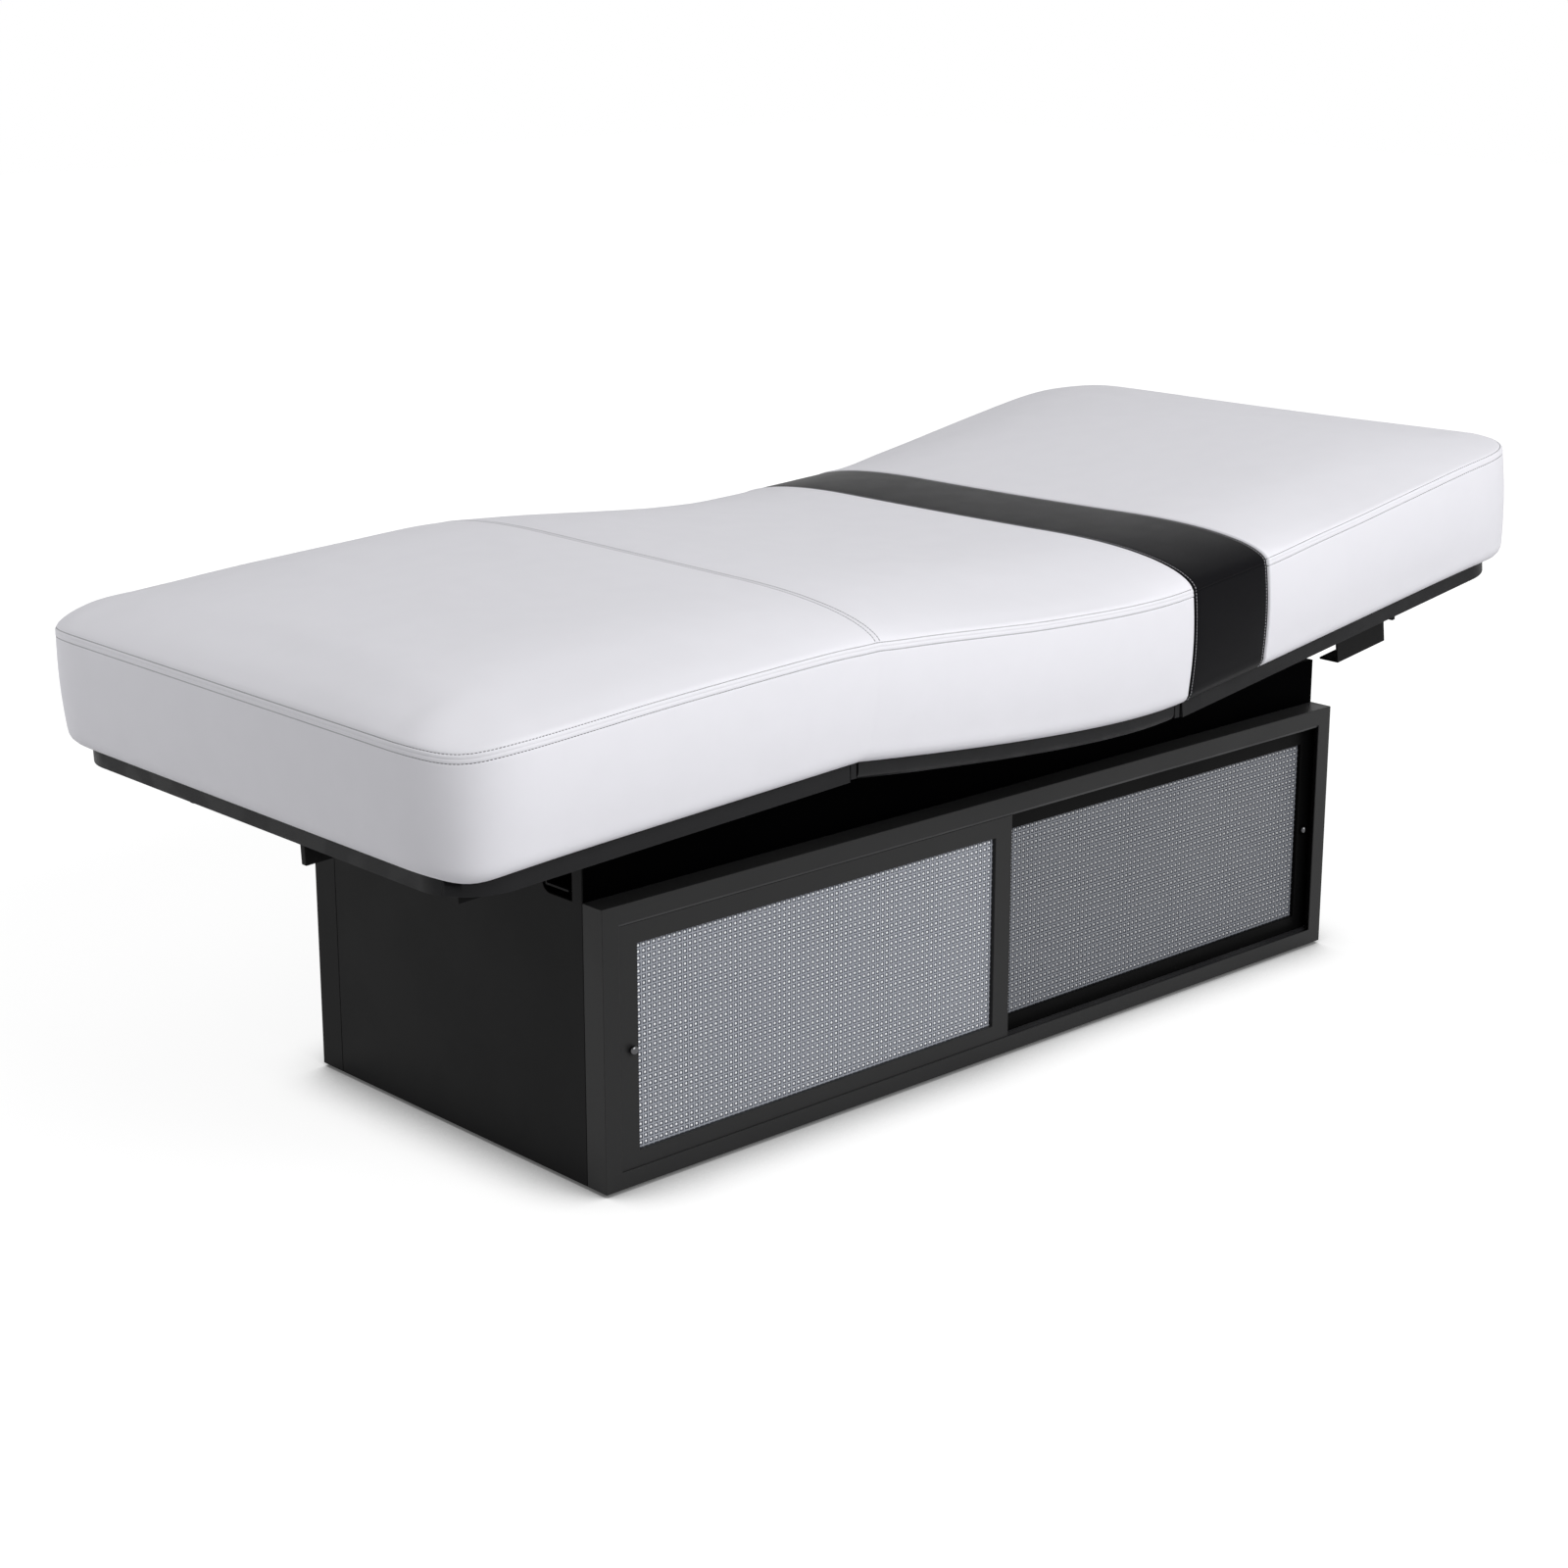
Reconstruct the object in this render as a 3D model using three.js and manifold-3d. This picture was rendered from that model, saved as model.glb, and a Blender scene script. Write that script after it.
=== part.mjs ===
// Electric treatment table. A steel cabinet with two sliding perforated doors carries two
// telescopic columns. They lift a frame with a three-part upholstered top: leg, seat and back.
// X runs along the table with the foot end at -X, the doors face -Y, and Z is up from the floor.
// All lengths are in millimetres and all angles in degrees.
import * as THREE from 'three';
import { mergeVertices } from 'three/addons/utils/BufferGeometryUtils.js';
import Module from 'manifold-3d';

const wasm = await Module();
wasm.setup();

// Clearances
const fit = 0.3;
const overrun = 5;
const weld = 1;

// Cabinet
const cabinetLength = 1300;
const cabinetWidth = 560;
const cabinetTop = 405;
const ledgeTop = 345;
const ledgeDepth = 34;
const footHeight = 4;
const footRadius = 15;
const footInsetX = 50;
const footInsetY = 40;
const sheet = 2;
const hem = 12;
const rearWrap = 42.5;
const frontPanelDrop = 20;
const halfLength = cabinetLength / 2;
const halfWidth = cabinetWidth / 2;
const boxFront = ledgeDepth - halfWidth;
const insideX = halfLength - sheet - fit;
const insideBack = halfWidth - sheet - fit;
const floorTop = footHeight + sheet;

// Door frame
const sideBar = 24.5;
const bottomBar = 20.8;
const topBar = 23.1;
const doorOpening = {
  x: [sideBar - halfLength, halfLength - sideBar],
  z: [footHeight + bottomBar, ledgeTop - topBar],
};

// Doors, with the left one in front
const doorWidth = 640;
const doorThickness = 7;
const stile = 29;
const doorRail = 24.8;
const leftDoorOverlap = 1.5;
const rightDoorOverlap = 13.5;
const doorPass = 7.9;
const doorFrontGap = 0.1;
const doorSill = 5.2;
const doorHeadroom = 3.1;
const doorRunning = 0.6;
const rebate = 6;
const rebateDepth = 1.3;
const perforatedSheet = 1;
const knobRadius = 5.5;
const knobLength = 7.1;
const knobNeck = 3.5;
const knobNeckLength = 2;
const knobShoulder = 1.4;
const knobShare = 0.65;
const knobHeight = 170;
const doorFaceLeft = sheet + doorFrontGap - halfWidth;
const doorFaceRight = doorFaceLeft + doorThickness + doorPass;
const doorBottom = doorOpening.z[0] - doorSill;
const doorTop = doorOpening.z[1] - doorHeadroom;

// Door tracks
const finHeight = 5;
const finSide = 1;
const rearFin = 2;
const trackLip = 3;

// Storage deck and the shroud round the columns
const shroudHalf = 215;
const shroudSheet = 1.5;
const shroudFront = -236;
const deckTop = 343;

// Lift columns, each of three square tubes
const columnX = 120;
const outerHalf = 45;
const outerWall = 3;
const tubeWall = 2.5;
const slideGap = 0.5;
const deckHoleMargin = 2;
const middleBottom = 15;
const middleTop = 342;
const innerBottom = 18;
const columnPlateBottom = 346;
const middleHalf = outerHalf - outerWall - slideGap;
const innerHalf = middleHalf - tubeWall - slideGap;

// Gear motors, control box, power inlet
const gearWidth = 36;
const gearHalfDepth = 38;
const gearHeight = 60;
const motorRadius = 17;
const motorHeight = 130;
const controlHalfLength = 80;
const controlY = [130, 240];
const controlHeight = 70;
const inletX = 150;
const inletZ = 60;
const inletHalf = { x: 13.8, z: 9.9 };
const inletFlange = { x: 25, z: 14, thickness: 3 };
const inletDepth = 22;
const inletWall = 2;
const inletPin = { half: 1, length: 14, spread: 7 };

// Hand control in its holder on the back panel
const holderX = [-592, -532];
const holderDepth = 34;
const holderZ = [255, 320];
const holderWall = 2;
const handsetGap = 0.5;
const handsetTop = 392;
const keyWidth = 34;
const keyHeight = 14;
const keyPitch = 19;
const keyThickness = 3;
const keyRise = 1.1;
const ridgeHeight = 0.8;
const ridgeHalf = 0.75;
const keyMargin = 6;

// Lift frame
const railInner = 181;
const railOuter = 222;
const railBottom = 352;
const railHeight = 41;
const railWall = 2.5;
const notchInner = 175;
const notchOuter = 228;
const notchRadius = 16;
const columnPlateHalf = 60;
const endBarX = 600;
const endBarHalf = 20;
const endBarHeight = 25;
const cradlePlate = 4;
const cradleEndInset = 9;
const cradleTaper = 120;
const cradleBarWidth = 40;
const cradleBarInset = 30;
const postRadius = 12;
const postY = 120;
const bracketWidth = 20;
const bracketHalfHeight = 17;
const bracketReach = 25;

// Boards under the cushion
const board = 25;
const boardHalf = 385;
const boardCorner = 70;
const hip = { x: 196, z: 454 };
const knee = { x: -366, z: 484.5 };
const seatDip = { x: 68.7, z: 436.1 };
const backSlope = 8;
const legSlope = 2.54;
const backBoardLength = 692;
const legBoardLength = 552;
const hingeGap = 7;

// Hinges between the boards
const knuckleRadius = 4.5;
const hingePinRadius = 1.7;
const hingeBore = 2;
const hingeHalf = 360;
const knuckles = 9;
const knuckleGap = 0.5;
const leaf = { near: 3.5, far: 6.6, depth: 19.5 };
const leafClearance = 0.4;

// Frames under the back board and the leg board
const frameTubeInner = 286;
const frameTubeWidth = 20;
const frameTubeHeight = 30;
const nearBar = { start: 34, width: 30, height: 15 };
const backTubeEnd = 640;
const legTubeEnd = 500;
const farBar = { inset: 40, width: 30 };

// Actuators: a rod with a slotted yoke pushes the pin of a lever under each hinge
const leverArm = 70.1;
const pinRadius = 5;
const hubRadius = 11;
const earInner = 5.5;
const earThickness = 6.5;
const yokeHalf = { x: 14, y: 4, z: 20 };
const slotHalf = { x: 6.3, z: 11.5 };
const rodRadius = 6;
const backDrive = { y: 100, leverAngle: 20.9, radius: 17, length: 270, nose: 31, back: 1 };
const legDrive = { y: -100, leverAngle: 15, radius: 15, length: 250, nose: 18, back: -1 };
const rodInside = 80;
const boreDepth = 110;
const drivePinDrop = 0.4;

// Brackets that hang under the boards
const armChannel = { start: 377, end: 480, inner: 309, outer: 340, height: 53, wall: 3 };
const armTab = { end: 505, width: 6, depth: 12, drop: 30 };
const footLug = { end: 550, length: 44, inner: 91, outer: 100, drop: 24 };
const footBumper = { end: 523, y: 163, radius: 8.5, length: 17 };

// Cushion
const seamHalf = 419;
const bottomHalf = 403;
const cornerRadius = 91;
const bottomEdge = 10;
const legCushion = { end: 576, side: 142, crown: 37 };
const kneeSide = 136;
const hipSide = 148;
const backCushion = { end: 709, side: 148, crown: 22 };
const endDraw = 4;
const crownRun = 150;
const foldSlope = 15.5;
const foldHalf = 2;
const bandStart = 15;
const bandEnd = 134;
const crownPower = 4;
const crownRoundness = 0.46;
const sideShares = [[0.45, 0.35], [0.85, 0.7]];
const crownShares = [0.985, 0.955, 0.9, 0.8, 0.6, 0.3];
const endShares = [0, 0.044, 0.154, 0.352, 0.637, 1];

// Facets
const roundSides = 16;
const smallSides = 12;
const curveSteps = 10;
const seatSteps = 16;
const domeSteps = 4;
const mergeTolerance = 1e-4;

const tan = (angle) => Math.tan(THREE.MathUtils.degToRad(angle));
const sin = (angle) => Math.sin(THREE.MathUtils.degToRad(angle));
const cos = (angle) => Math.cos(THREE.MathUtils.degToRad(angle));
const both = (half) => [-half, half];
const around = (centre, half) => [centre - half, centre + half];
const mix = (from, to, share) => from + (to - from) * share;
const mirrored = (side, near, far) => (side > 0 ? [near, far] : [-far, -near]);

// Solids and their geometries
function solidOf(geometry) {
  const plain = geometry.clone();
  plain.deleteAttribute('normal');
  plain.deleteAttribute('uv');
  const merged = mergeVertices(plain, mergeTolerance);
  return new wasm.Manifold(new wasm.Mesh({
    numProp: 3,
    vertProperties: new Float32Array(merged.attributes.position.array),
    triVerts: new Uint32Array(merged.index.array),
  }));
}

function geometryOf(solid) {
  const mesh = solid.getMesh();
  const geometry = new THREE.BufferGeometry();
  geometry.setAttribute('position', new THREE.BufferAttribute(mesh.vertProperties, mesh.numProp));
  geometry.setIndex(new THREE.BufferAttribute(mesh.triVerts, 1));
  geometry.computeVertexNormals();
  return geometry;
}

function join(first, ...others) {
  return geometryOf(others.reduce((sum, other) => sum.add(solidOf(other)), solidOf(first)));
}

function cut(first, ...tools) {
  return geometryOf(tools.reduce((rest, tool) => rest.subtract(solidOf(tool)), solidOf(first)));
}

function block(x, y, z) {
  const geometry = new THREE.BoxGeometry(x[1] - x[0], y[1] - y[0], z[1] - z[0]);
  return geometry.translate((x[0] + x[1]) / 2, (y[0] + y[1]) / 2, (z[0] + z[1]) / 2);
}

function shapeOf(points) {
  return new THREE.Shape(points.map(([a, b]) => new THREE.Vector2(a, b)));
}

// An outline in the YZ plane, drawn out along X
function alongX(shape, x) {
  const geometry = new THREE.ExtrudeGeometry(shape, { depth: x[1] - x[0], bevelEnabled: false });
  const axes = new THREE.Matrix4().makeBasis(
    new THREE.Vector3(0, 1, 0),
    new THREE.Vector3(0, 0, 1),
    new THREE.Vector3(1, 0, 0),
  );
  return geometry.applyMatrix4(axes).translate(x[0], 0, 0);
}

// An outline whose points are given as z and x, drawn out along Y
function alongY(shape, y) {
  const geometry = new THREE.ExtrudeGeometry(shape, { depth: y[1] - y[0], bevelEnabled: false });
  const axes = new THREE.Matrix4().makeBasis(
    new THREE.Vector3(0, 0, 1),
    new THREE.Vector3(1, 0, 0),
    new THREE.Vector3(0, 1, 0),
  );
  return geometry.applyMatrix4(axes).translate(0, y[0], 0);
}

// An outline in the XY plane, drawn out along Z
function alongZ(shape, z) {
  const settings = { depth: z[1] - z[0], bevelEnabled: false, curveSegments: curveSteps };
  return new THREE.ExtrudeGeometry(shape, settings).translate(0, 0, z[0]);
}

function rodX(radius, x, y, z, sides = roundSides) {
  const geometry = new THREE.CylinderGeometry(radius, radius, x[1] - x[0], sides);
  return geometry.rotateZ(Math.PI / 2).translate((x[0] + x[1]) / 2, y, z);
}

function rodY(radius, x, y, z, sides = roundSides) {
  const geometry = new THREE.CylinderGeometry(radius, radius, y[1] - y[0], sides);
  return geometry.translate(x, (y[0] + y[1]) / 2, z);
}

function rodZ(radius, x, y, z, sides = roundSides) {
  const geometry = new THREE.CylinderGeometry(radius, radius, z[1] - z[0], sides);
  return geometry.rotateX(Math.PI / 2).translate(x, y, (z[0] + z[1]) / 2);
}

function squareTube(x, half, wall, z) {
  const hollow = block(around(x, half - wall), both(half - wall), [z[0] - overrun, z[1] + overrun]);
  return cut(block(around(x, half), both(half), z), hollow);
}

// Materials
function steel(color, roughness) {
  return new THREE.MeshStandardMaterial({ color, roughness, metalness: 0.6 });
}

function plain(color, roughness) {
  return new THREE.MeshStandardMaterial({ color, roughness, metalness: 0 });
}

const material = {
  powderCoat: () => steel(0x262627, 0.45),
  doorCoat: () => steel(0x303031, 0.42),
  perforated: () => steel(0x8a9098, 0.5),
  bright: () => steel(0xb9bcc0, 0.25),
  plated: () => steel(0x8f9296, 0.35),
  plastic: () => plain(0x1c1c1e, 0.5),
  keys: () => plain(0x6d7075, 0.5),
  rubber: () => plain(0x141414, 0.7),
  boardVinyl: () => plain(0x303032, 0.55),
  whiteVinyl: () => plain(0xe6e7ec, 0.45),
  blackVinyl: () => plain(0x29272c, 0.45),
};

const table = new THREE.Group();
const backGroup = new THREE.Group();
const legGroup = new THREE.Group();
backGroup.position.set(hip.x, 0, hip.z);
backGroup.rotation.y = -THREE.MathUtils.degToRad(backSlope);
legGroup.position.set(knee.x, 0, knee.z);
legGroup.rotation.y = -THREE.MathUtils.degToRad(legSlope);
table.add(backGroup, legGroup);

function place(name, geometry, look, group = table) {
  const mesh = new THREE.Mesh(geometry, look());
  mesh.name = name;
  group.add(mesh);
}

// Cabinet panels

function doorFrame() {
  const tray = block(both(halfLength), [-halfWidth, boxFront], [footHeight, ledgeTop]);
  const hollow = block(
    both(halfLength - sheet),
    [sheet - halfWidth, boxFront + overrun],
    [floorTop, ledgeTop - sheet],
  );
  const opening = block(doorOpening.x, [-halfWidth - overrun, boxFront], doorOpening.z);
  return cut(tray, hollow, opening);
}

// The frame rails come up through a notch with one round corner
function railNotch(side) {
  const low = deckTop;
  const high = cabinetTop + overrun;
  const shape = new THREE.Shape();
  shape.moveTo(side * notchOuter, low);
  shape.lineTo(side * (notchInner + notchRadius), low);
  shape.quadraticCurveTo(side * notchInner, low, side * notchInner, low + notchRadius);
  shape.lineTo(side * notchInner, high);
  shape.lineTo(side * notchOuter, high);
  return alongX(shape, both(halfLength + overrun));
}

function endPanel(end) {
  const wall = block(
    mirrored(end, halfLength - sheet, halfLength),
    [boxFront + fit, halfWidth - rearWrap - fit],
    [footHeight, cabinetTop],
  );
  const topHem = block(
    mirrored(end, halfLength - hem, halfLength),
    both(notchInner - hem),
    [cabinetTop - sheet, cabinetTop],
  );
  return cut(join(wall, topHem), railNotch(-1), railNotch(1));
}

function backPanel() {
  const outline = shapeOf([
    [-halfLength, halfWidth - rearWrap],
    [-halfLength, halfWidth],
    [halfLength, halfWidth],
    [halfLength, halfWidth - rearWrap],
    [halfLength - sheet, halfWidth - rearWrap],
    [halfLength - sheet, halfWidth - sheet],
    [sheet - halfLength, halfWidth - sheet],
    [sheet - halfLength, halfWidth - rearWrap],
  ]);
  const topHem = block(
    both(halfLength - sheet / 2),
    [halfWidth - hem, halfWidth - sheet / 2],
    [cabinetTop - sheet, cabinetTop],
  );
  const inletHole = block(
    around(inletX, inletHalf.x + fit),
    [halfWidth - sheet - overrun, halfWidth + overrun],
    around(inletZ, inletHalf.z + fit),
  );
  return cut(join(alongZ(outline, [footHeight, cabinetTop]), topHem), inletHole);
}

function frontPanel() {
  const front = boxFront + fit;
  const wall = block(
    both(insideX),
    [front, front + sheet],
    [ledgeTop - frontPanelDrop, cabinetTop],
  );
  const topHem = block(both(insideX), [front, front + hem], [cabinetTop - sheet, cabinetTop]);
  return join(wall, topHem);
}

function floorPlate() {
  return block(both(insideX), [boxFront + fit, insideBack], [footHeight, floorTop]);
}

function storageDeck() {
  const level = [deckTop - sheet, deckTop];
  const plate = block(both(insideX), [boxFront + 2 * fit + sheet, insideBack], level);
  const cutter = [level[0] - overrun, level[1] + overrun];
  const half = outerHalf + deckHoleMargin;
  const holes = [-columnX, columnX].map((x) => block(around(x, half), both(half), cutter));
  return cut(plate, ...holes);
}

function columnShroud() {
  const inner = shroudHalf - shroudSheet;
  const outline = shapeOf([
    [-shroudHalf, insideBack],
    [-shroudHalf, shroudFront],
    [shroudHalf, shroudFront],
    [shroudHalf, insideBack],
    [inner, insideBack],
    [inner, shroudFront + shroudSheet],
    [-inner, shroudFront + shroudSheet],
    [-inner, insideBack],
  ]);
  return alongZ(outline, [floorTop + fit, deckTop - sheet - fit]);
}

place('door_frame', doorFrame(), material.doorCoat);
place('foot_end_panel', endPanel(-1), material.powderCoat);
place('head_end_panel', endPanel(1), material.powderCoat);
place('back_panel', backPanel(), material.powderCoat);
place('front_panel', frontPanel(), material.powderCoat);
place('floor_plate', floorPlate(), material.powderCoat);
place('storage_deck', storageDeck(), material.powderCoat);
place('column_shroud', columnShroud(), material.powderCoat);

for (const [end, endName] of [[-1, 'foot'], [1, 'head']]) {
  for (const [side, sideName] of [[-1, 'front'], [1, 'rear']]) {
    const x = end * (halfLength - footInsetX);
    const y = side * (halfWidth - footInsetY);
    const pad = rodZ(footRadius, x, y, [0, footHeight - fit]);
    place('glide_' + endName + '_' + sideName, pad, material.rubber);
  }
}

// Door tracks, each with a fin between the doors and a fin behind them

function trackOutline(base, runner, lip) {
  const front = sheet + fit - halfWidth;
  const mid = [doorFaceLeft + doorThickness + finSide, doorFaceRight - finSide];
  const rear = doorFaceRight + doorThickness + finSide;
  return shapeOf([
    [front, base],
    [rear + rearFin + trackLip, base],
    [rear + rearFin + trackLip, runner],
    [rear + rearFin, runner],
    [rear + rearFin, lip],
    [rear, lip],
    [rear, runner],
    [mid[1], runner],
    [mid[1], lip],
    [mid[0], lip],
    [mid[0], runner],
    [front, runner],
  ]);
}

const lowerRunner = doorBottom - doorRunning;
const upperRunner = doorTop + doorRunning;
const lowerTrack = trackOutline(floorTop + fit, lowerRunner, lowerRunner + finHeight);
const upperTrack = trackOutline(ledgeTop - sheet - fit, upperRunner, upperRunner - finHeight + weld);
place('door_track_lower', alongX(lowerTrack, both(insideX)), material.plastic);
place('door_track_upper', alongX(upperTrack, both(insideX)), material.plastic);

// Sliding doors

function knob(x, face) {
  const domeStart = knobNeckLength + knobShoulder;
  const profile = [[0, 0], [knobNeck, 0], [knobNeck, knobNeckLength], [knobRadius, domeStart]];
  const dome = new THREE.EllipseCurve(
    0, domeStart, knobRadius, knobLength - domeStart, 0, Math.PI / 2);
  const points = profile.map(([r, h]) => new THREE.Vector2(r, h));
  points.push(...dome.getPoints(domeSteps).slice(1, -1), new THREE.Vector2(0, knobLength));
  const geometry = new THREE.LatheGeometry(points, roundSides);
  return geometry.rotateX(Math.PI).translate(x, face - fit, knobHeight);
}

function door(name, start, face, knobX) {
  const x = [start, start + doorWidth];
  const z = [doorBottom, doorTop];
  const back = face + doorThickness;
  const windowX = [x[0] + stile, x[1] - stile];
  const windowZ = [z[0] + doorRail, z[1] - doorRail];
  const rebateX = [windowX[0] - rebate, windowX[1] + rebate];
  const rebateZ = [windowZ[0] - rebate, windowZ[1] + rebate];
  const frame = cut(
    block(x, [face, back], z),
    block(windowX, [face - overrun, back + overrun], windowZ),
    block(rebateX, [back - rebateDepth, back + overrun], rebateZ),
  );
  const sheetX = [rebateX[0] + fit, rebateX[1] - fit];
  const sheetZ = [rebateZ[0] + fit, rebateZ[1] - fit];
  const sheetFront = back - rebateDepth + fit;
  const panel = block(sheetX, [sheetFront, sheetFront + perforatedSheet], sheetZ);
  place(name + '_door_frame', frame, material.doorCoat);
  place(name + '_door_mesh', panel, material.perforated);
  place(name + '_door_knob', knob(knobX, face), material.bright);
}

const leftDoorStart = doorOpening.x[0] - leftDoorOverlap;
const rightDoorStart = doorOpening.x[1] + rightDoorOverlap - doorWidth;
const leftKnobX = leftDoorStart + stile * knobShare;
const rightKnobX = rightDoorStart + doorWidth - stile * knobShare;
door('left', leftDoorStart, doorFaceLeft, leftKnobX);
door('right', rightDoorStart, doorFaceRight, rightKnobX);

// Lift columns with their gear motors

function gearMotor(end) {
  const near = columnX + outerHalf + fit;
  const middle = near + gearWidth / 2;
  const gearTop = floorTop + fit + gearHeight;
  const gear = block(
    mirrored(end, near, near + gearWidth),
    both(gearHalfDepth),
    [floorTop + fit, gearTop],
  );
  const motor = rodZ(motorRadius, end * middle, 0, [gearTop - weld, gearTop + motorHeight]);
  return join(gear, motor);
}

for (const [end, endName] of [[-1, 'foot'], [1, 'head']]) {
  const x = end * columnX;
  const outerTop = deckTop - sheet - 2 * fit;
  const outer = squareTube(x, outerHalf, outerWall, [floorTop + fit, outerTop]);
  const middle = squareTube(x, middleHalf, tubeWall, [middleBottom, middleTop]);
  const inner = squareTube(x, innerHalf, tubeWall, [innerBottom, columnPlateBottom - fit]);
  place('column_outer_' + endName, outer, material.plated);
  place('column_middle_' + endName, middle, material.plated);
  place('column_inner_' + endName, inner, material.plated);
  place('lift_motor_' + endName, gearMotor(end), material.plastic);
}

const controlBox = block(
  both(controlHalfLength), controlY, [floorTop + fit, floorTop + fit + controlHeight]);
place('control_box', controlBox, material.plastic);

function powerInlet() {
  const face = halfWidth + fit;
  const depth = [halfWidth - sheet - inletDepth, face + inletFlange.thickness];
  const flange = block(
    around(inletX, inletFlange.x), [face, depth[1]], around(inletZ, inletFlange.z));
  const body = block(around(inletX, inletHalf.x), [depth[0], depth[1] - weld],
    around(inletZ, inletHalf.z));
  const socket = block(
    around(inletX, inletHalf.x - inletWall),
    [depth[0] + inletWall, depth[1] + overrun],
    around(inletZ, inletHalf.z - inletWall),
  );
  const pins = [-1, 0, 1].map((step) => block(
    around(inletX + step * inletPin.spread, inletPin.half),
    [depth[0] + inletWall - weld, depth[0] + inletWall + inletPin.length],
    around(inletZ, 2 * inletPin.half),
  ));
  return join(cut(join(flange, body), socket), ...pins);
}

place('power_inlet', powerInlet(), material.plastic);

// Hand control

const handsetX = [holderX[0] + holderWall + handsetGap, holderX[1] - holderWall - handsetGap];
const handsetBack = halfWidth + fit + holderWall + handsetGap;
const handsetFace = halfWidth + fit + holderDepth - holderWall - handsetGap;
const handsetMiddle = (handsetX[0] + handsetX[1]) / 2;
const keyNames = ['lift_key', 'back_key', 'leg_key'];
const keyTop = handsetTop - keyMargin - keyHeight / 2;
const keyZ = keyNames.map((name, index) => keyTop - index * keyPitch);

function controlHolder() {
  const y = [halfWidth + fit, halfWidth + fit + holderDepth];
  const pocket = block(
    [holderX[0] + holderWall, holderX[1] - holderWall],
    [y[0] + holderWall, y[1] - holderWall],
    [holderZ[0] + holderWall, holderZ[1] + overrun],
  );
  return cut(block(holderX, y, holderZ), pocket);
}

function handControl() {
  const body = block(
    handsetX, [handsetBack, handsetFace], [holderZ[0] + holderWall + fit, handsetTop]);
  const ridges = keyZ.map((z) => block(
    around(handsetMiddle, keyWidth / 2),
    [handsetFace - weld, handsetFace + ridgeHeight],
    around(z, ridgeHalf),
  ));
  return join(body, ...ridges);
}

function rockerKey(z) {
  const y = [handsetFace + keyRise, handsetFace + keyRise + keyThickness];
  return block(around(handsetMiddle, keyWidth / 2), y, around(z, keyHeight / 2));
}

place('control_holder', controlHolder(), material.plastic);
place('hand_control', handControl(), material.plastic);
keyNames.forEach((name, index) => place(name, rockerKey(keyZ[index]), material.keys));

// Top line of the seat board, from the knee to the hip
const seatCurve = new THREE.QuadraticBezierCurve(
  new THREE.Vector2(knee.x, knee.z),
  new THREE.Vector2(seatDip.x, seatDip.z),
  new THREE.Vector2(hip.x, hip.z),
);

const seatPoints = seatCurve.getPoints(seatSteps);

// The seat line follows its facets, so that what lies on them stays clear of the board
function seatTop(x) {
  const found = seatPoints.findIndex((point) => point.x > x);
  const next = found < 1 ? seatPoints.length - 1 : found;
  const from = seatPoints[next - 1];
  const to = seatPoints[next];
  return mix(from.y, to.y, (x - from.x) / (to.x - from.x));
}

function seatLine(start, end, lower) {
  const inner = seatPoints.map((point) => point.x).filter((x) => x > start && x < end);
  return [start, ...inner, end].map((x) => [seatTop(x) - lower, x]);
}

const seatStart = knee.x + hingeGap;
const seatEnd = hip.x - hingeGap;

// Lift frame: two channel rails, cross bars, cradle plates under the seat, rest posts

function frameRail(side) {
  const web = mirrored(side, railInner, railInner + railWall);
  const flange = mirrored(side, railInner, railOuter);
  const top = railBottom + railHeight;
  const x = both(halfLength);
  return [
    block(x, web, [railBottom, top]),
    block(x, flange, [railBottom, railBottom + railWall]),
    block(x, flange, [top - railWall, top]),
  ];
}

function cradle(side) {
  const start = seatStart + cradleEndInset;
  const end = seatEnd - cradleEndInset;
  const low = railBottom + railHeight - hem;
  const top = seatLine(start, end, board + fit);
  const outline = shapeOf([...top, [low, end - cradleTaper], [low, start + cradleTaper]]);
  return alongY(outline, mirrored(side, railInner - cradlePlate / 2, railInner + cradlePlate / 2));
}

function cradleBar(x) {
  const low = Math.min(seatTop(x[0]), seatTop(x[1])) - board - fit;
  return block(x, both(railInner), [low - cradlePlate, low - weld]);
}

function restPost(x, top) {
  const low = railBottom + endBarHeight - weld;
  return [-1, 1].map((side) => rodZ(postRadius, x, side * postY, [low, top], smallSides));
}

const hipAxisZ = hip.z - knuckleRadius;
const kneeAxisZ = knee.z - knuckleRadius;
const backFlatUnderside = hipAxisZ + knuckleRadius * cos(backSlope) - board;
const legRestUnderside = knee.z - board / cos(legSlope)
  - (endBarX + postRadius + knee.x) * tan(legSlope);

function driveLine(drive, axis) {
  const pinX = axis.x - drive.back * leverArm * sin(drive.leverAngle);
  const pinZ = axis.z - leverArm * cos(drive.leverAngle);
  const noseX = pinX - drive.back * drive.nose;
  return { ...drive, pinX, pinZ, noseX, tailX: noseX - drive.back * drive.length };
}

const backLine = driveLine(backDrive, { x: hip.x, z: hipAxisZ });
const legLine = driveLine(legDrive, { x: knee.x, z: kneeAxisZ });

function driveBracket(line) {
  const far = line.tailX - line.back * (fit + bracketWidth);
  const near = line.tailX - line.back * fit;
  return block(
    [Math.min(far, near), Math.max(far, near)],
    mirrored(line.back, Math.abs(line.y) - bracketReach, railInner + weld),
    around(line.pinZ, bracketHalfHeight),
  );
}

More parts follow.
